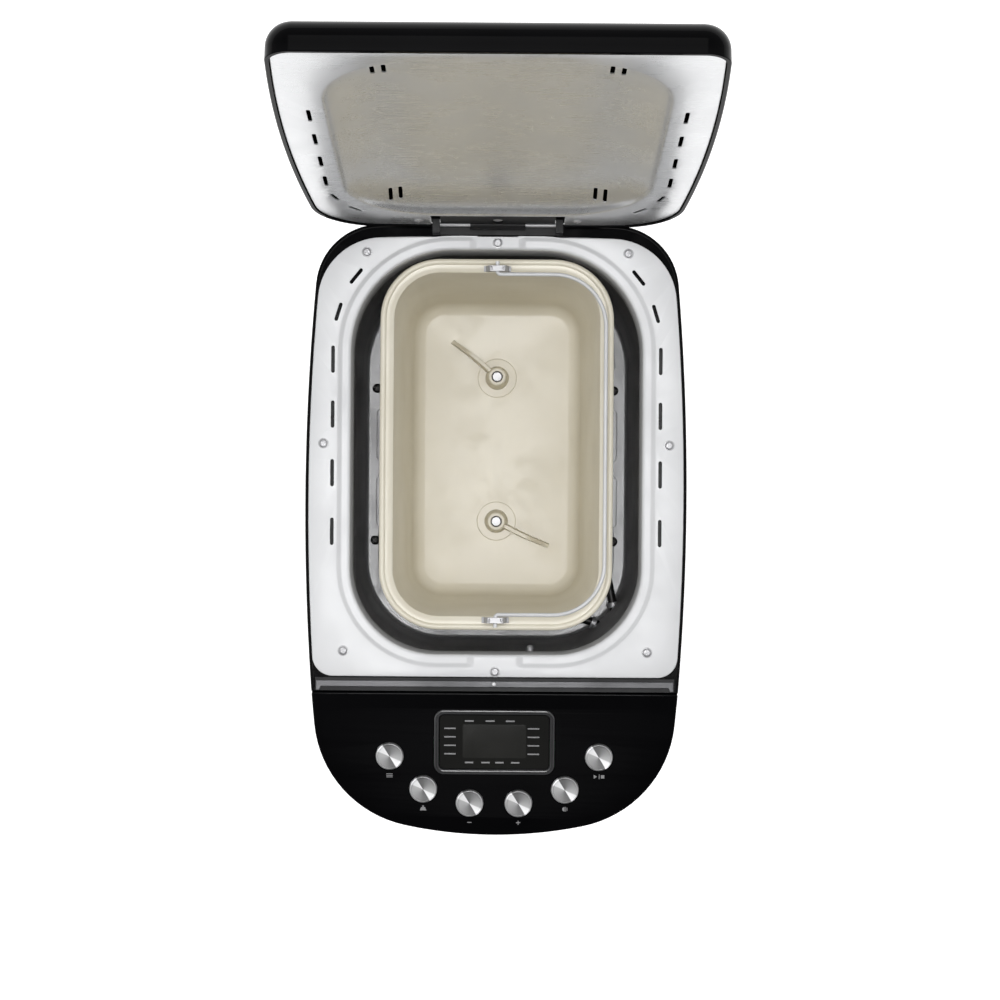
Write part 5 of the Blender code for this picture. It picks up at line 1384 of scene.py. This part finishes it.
# ---------------------------------------------------------------- stage
CAMERA_PLACE = (0.0028, -0.0151, 1.718)
CAMERA_ROLL = math.radians(0.4)
CAMERA_LENS = 75.4
LIGHTS_AIM = Vector((0, 0, 0.25))
# Each light: name, power in watts, place and width.
LIGHTS = (
    ("light_left", 9.0, (-1.5, -0.2, 1.7), 1.4),
    ("light_right", 6.0, (1.5, -0.1, 1.7), 1.4),
    ("light_rear", 5.0, (0.0, 1.5, 1.9), 1.2),
    ("light_above", 34.0, (0.0, 0.0, 3.2), 0.7),
)


def make_stage():
    """A pale floor, soft light from above, both sides and behind, and a camera that looks straight down."""
    kept = set(frame["nodes"].values()) | set(frame["bodies"].values())
    for old in set(bpy.data.objects) - kept:
        bpy.data.objects.remove(old, do_unlink=True)
    bm = bmesh.new()
    bmesh.ops.create_grid(bm, x_segments=4, y_segments=4, size=8.0)
    mesh = bpy.data.meshes.new("floor")
    bm.to_mesh(mesh)
    bm.free()
    floor = bpy.data.objects.new("floor", mesh)
    bpy.context.scene.collection.objects.link(floor)
    material = bpy.data.materials.new("pale_floor")
    material.use_nodes = True
    shader = material.node_tree.nodes["Principled BSDF"]
    shader.inputs["Base Color"].default_value = (0.92, 0.92, 0.92, 1.0)
    shader.inputs["Roughness"].default_value = 0.9
    shader.inputs["Specular IOR Level"].default_value = 0.1
    shader.inputs["Emission Color"].default_value = (1.0, 1.0, 1.0, 1.0)
    shader.inputs["Emission Strength"].default_value = 0.75
    mesh.materials.append(material)
    scene = bpy.context.scene
    world = bpy.data.worlds.new("soft_room")
    world.use_nodes = True
    tree = world.node_tree
    place = tree.nodes.new("ShaderNodeTexCoord")
    split = tree.nodes.new("ShaderNodeSeparateXYZ")
    tree.links.new(place.outputs["Generated"], split.inputs["Vector"])
    height = ranged(tree, split.outputs["Z"], 0.75, 0.98, 0.50, 0.40)
    front = ranged(tree, split.outputs["Y"], -0.62, -0.12, 0.30, 1.0)
    product = tree.nodes.new("ShaderNodeMath")
    product.operation = "MULTIPLY"
    tree.links.new(height, product.inputs[0])
    tree.links.new(front, product.inputs[1])
    tree.nodes["Background"].inputs["Color"].default_value = (1.0, 1.0, 1.0, 1.0)
    tree.links.new(product.outputs["Value"], tree.nodes["Background"].inputs["Strength"])
    scene.world = world
    for name, energy, at, size in LIGHTS:
        lamp = bpy.data.lights.new(name, "AREA")
        lamp.energy = energy
        lamp.size = size
        light = bpy.data.objects.new(name, lamp)
        light.location = at
        light.rotation_euler = (LIGHTS_AIM - Vector(at)).to_track_quat("-Z", "Y").to_euler()
        scene.collection.objects.link(light)
    lens = bpy.data.cameras.new("camera")
    lens.lens = CAMERA_LENS
    lens.sensor_width = 36.0
    camera = bpy.data.objects.new("camera", lens)
    camera.location = CAMERA_PLACE
    camera.rotation_euler = (0, 0, CAMERA_ROLL)
    scene.collection.objects.link(camera)
    scene.camera = camera
    scene.view_settings.view_transform = "Standard"


# ---------------------------------------------------------------- add-on
class BreadMachineSizes(bpy.types.PropertyGroup):
    """Sizes of the pressed and turned details"""

    step_drop: bpy.props.FloatProperty(
        name="Step drop", description="Depth of the pressed step round the opening",
        default=0.0016, min=0.0002, max=0.0030, unit="LENGTH")
    rim_round: bpy.props.FloatProperty(
        name="Casing rim rounding", description="Radius on the casing's upper edge",
        default=0.0012, min=0.0002, max=0.0018, unit="LENGTH")
    rim_roll: bpy.props.FloatProperty(
        name="Pan rim roll", description="Radius of the pan's rolled rim",
        default=0.0022, min=0.0010, max=0.0026, unit="LENGTH")
    wire_radius: bpy.props.FloatProperty(
        name="Handle wire radius", description="Radius of the wire of the pan's handle",
        default=0.0014, min=0.0010, max=0.0016, unit="LENGTH")
    panel_round: bpy.props.FloatProperty(
        name="Panel rounding", description="Radius on the panel's upper edge",
        default=0.0012, min=0.0002, max=0.0014, unit="LENGTH")
    dish_depth: bpy.props.FloatProperty(
        name="Lid dish depth", description="Depth of the dish pressed into the lid's liner",
        default=0.0118, min=0.0040, max=0.0160, unit="LENGTH")
    key_dish: bpy.props.FloatProperty(
        name="Key dish", description="How far the face of a key is dished",
        default=0.0002, min=0.0, max=0.0006, unit="LENGTH")


class BreadMachineColours(bpy.types.PropertyGroup):
    """Colours of the main finishes"""

    steel: bpy.props.FloatVectorProperty(
        name="Steel", description="Lighter tone of the deck's and the liner's steel",
        default=(0.66, 0.665, 0.675), min=0.0, max=1.0, subtype="COLOR")
    pan: bpy.props.FloatVectorProperty(
        name="Pan", description="Lighter tone of the pan's coating",
        default=(0.73, 0.69, 0.58), min=0.0, max=1.0, subtype="COLOR")
    casing: bpy.props.FloatVectorProperty(
        name="Casing", description="Lighter tone of the glossy casing, panel and lid",
        default=(0.0020, 0.0020, 0.0024), min=0.0, max=1.0, subtype="COLOR")


class BREADMACHINE_OT_stage(bpy.types.Operator):
    """Set out the floor, the lights and the camera"""

    bl_idname = "bread_machine.stage"
    bl_label = "Stage"

    def execute(self, context):
        make_stage()
        return {"FINISHED"}


class BREADMACHINE_OT_casing(bpy.types.Operator):
    """Build the glossy casing"""

    bl_idname = "bread_machine.casing"
    bl_label = "Casing"

    def execute(self, context):
        make_casing(context.scene.bread_machine_sizes)
        return {"FINISHED"}


class BREADMACHINE_OT_base(bpy.types.Operator):
    """Build the tray below the casing and its feet"""

    bl_idname = "bread_machine.base"
    bl_label = "Tray and feet"

    def execute(self, context):
        make_base()
        return {"FINISHED"}


class BREADMACHINE_OT_deck(bpy.types.Operator):
    """Build the pressed steel deck, its screws and the strip in front of it"""

    bl_idname = "bread_machine.deck"
    bl_label = "Deck"

    def execute(self, context):
        make_deck(context.scene.bread_machine_sizes)
        make_strip()
        return {"FINISHED"}


class BREADMACHINE_OT_oven(bpy.types.Operator):
    """Build the oven chamber, the element and the probe"""

    bl_idname = "bread_machine.oven"
    bl_label = "Oven"

    def execute(self, context):
        make_oven(context.scene.bread_machine_sizes)
        return {"FINISHED"}


class BREADMACHINE_OT_pan(bpy.types.Operator):
    """Build the pan, its straps and its skirt"""

    bl_idname = "bread_machine.pan"
    bl_label = "Pan"

    def execute(self, context):
        make_pan(context.scene.bread_machine_sizes)
        return {"FINISHED"}


class BREADMACHINE_OT_handle(bpy.types.Operator):
    """Bend the wire handle"""

    bl_idname = "bread_machine.handle"
    bl_label = "Handle"

    def execute(self, context):
        make_handle(context.scene.bread_machine_sizes)
        return {"FINISHED"}


class BREADMACHINE_OT_kneaders(bpy.types.Operator):
    """Build the kneading shafts and paddles"""

    bl_idname = "bread_machine.kneaders"
    bl_label = "Kneaders"

    def execute(self, context):
        make_kneaders()
        return {"FINISHED"}


class BREADMACHINE_OT_panel(bpy.types.Operator):
    """Build the control panel, the display and the printed signs"""

    bl_idname = "bread_machine.panel"
    bl_label = "Control panel"

    def execute(self, context):
        make_panel(context.scene.bread_machine_sizes)
        return {"FINISHED"}


class BREADMACHINE_OT_keys(bpy.types.Operator):
    """Turn the six keys"""

    bl_idname = "bread_machine.keys"
    bl_label = "Keys"

    def execute(self, context):
        make_keys(context.scene.bread_machine_sizes)
        return {"FINISHED"}


class BREADMACHINE_OT_lid(bpy.types.Operator):
    """Build the lid and its liner"""

    bl_idname = "bread_machine.lid"
    bl_label = "Lid"

    def execute(self, context):
        make_lid(context.scene.bread_machine_sizes)
        return {"FINISHED"}


class BREADMACHINE_OT_hinge(bpy.types.Operator):
    """Finish the hinge"""

    bl_idname = "bread_machine.hinge"
    bl_label = "Hinge"

    def execute(self, context):
        make_hinge()
        return {"FINISHED"}


class BREADMACHINE_OT_works(bpy.types.Operator):
    """Finish the drive and the boards inside the casing"""

    bl_idname = "bread_machine.works"
    bl_label = "Inner works"

    def execute(self, context):
        make_works()
        return {"FINISHED"}


OPERATORS = (
    BREADMACHINE_OT_stage, BREADMACHINE_OT_casing, BREADMACHINE_OT_base, BREADMACHINE_OT_deck,
    BREADMACHINE_OT_oven, BREADMACHINE_OT_pan, BREADMACHINE_OT_handle, BREADMACHINE_OT_kneaders,
    BREADMACHINE_OT_panel, BREADMACHINE_OT_keys, BREADMACHINE_OT_lid, BREADMACHINE_OT_hinge,
    BREADMACHINE_OT_works,
)


class BREADMACHINE_PT_sidebar(bpy.types.Panel):
    """Lists the steps that build the bread machine"""

    bl_label = "Bread machine"
    bl_idname = "BREADMACHINE_PT_sidebar"
    bl_space_type = "VIEW_3D"
    bl_region_type = "UI"
    bl_category = "Bread machine"

    def draw(self, context):
        for holder in (context.scene.bread_machine_sizes, context.scene.bread_machine_colours):
            for label in holder.__annotations__:
                self.layout.prop(holder, label)
        for operator in OPERATORS:
            self.layout.operator(operator.bl_idname)


CLASSES = (BreadMachineSizes, BreadMachineColours, *OPERATORS, BREADMACHINE_PT_sidebar)


def register():
    for item in CLASSES:
        bpy.utils.register_class(item)
    bpy.types.Scene.bread_machine_sizes = bpy.props.PointerProperty(type=BreadMachineSizes)
    bpy.types.Scene.bread_machine_colours = bpy.props.PointerProperty(type=BreadMachineColours)


def unregister():
    del bpy.types.Scene.bread_machine_colours
    del bpy.types.Scene.bread_machine_sizes
    for item in reversed(CLASSES):
        bpy.utils.unregister_class(item)


def main():
    register()
    for operator in OPERATORS:
        group, name = operator.bl_idname.split(".")
        getattr(getattr(bpy.ops, group), name)()


if __name__ == "__main__":
    main()
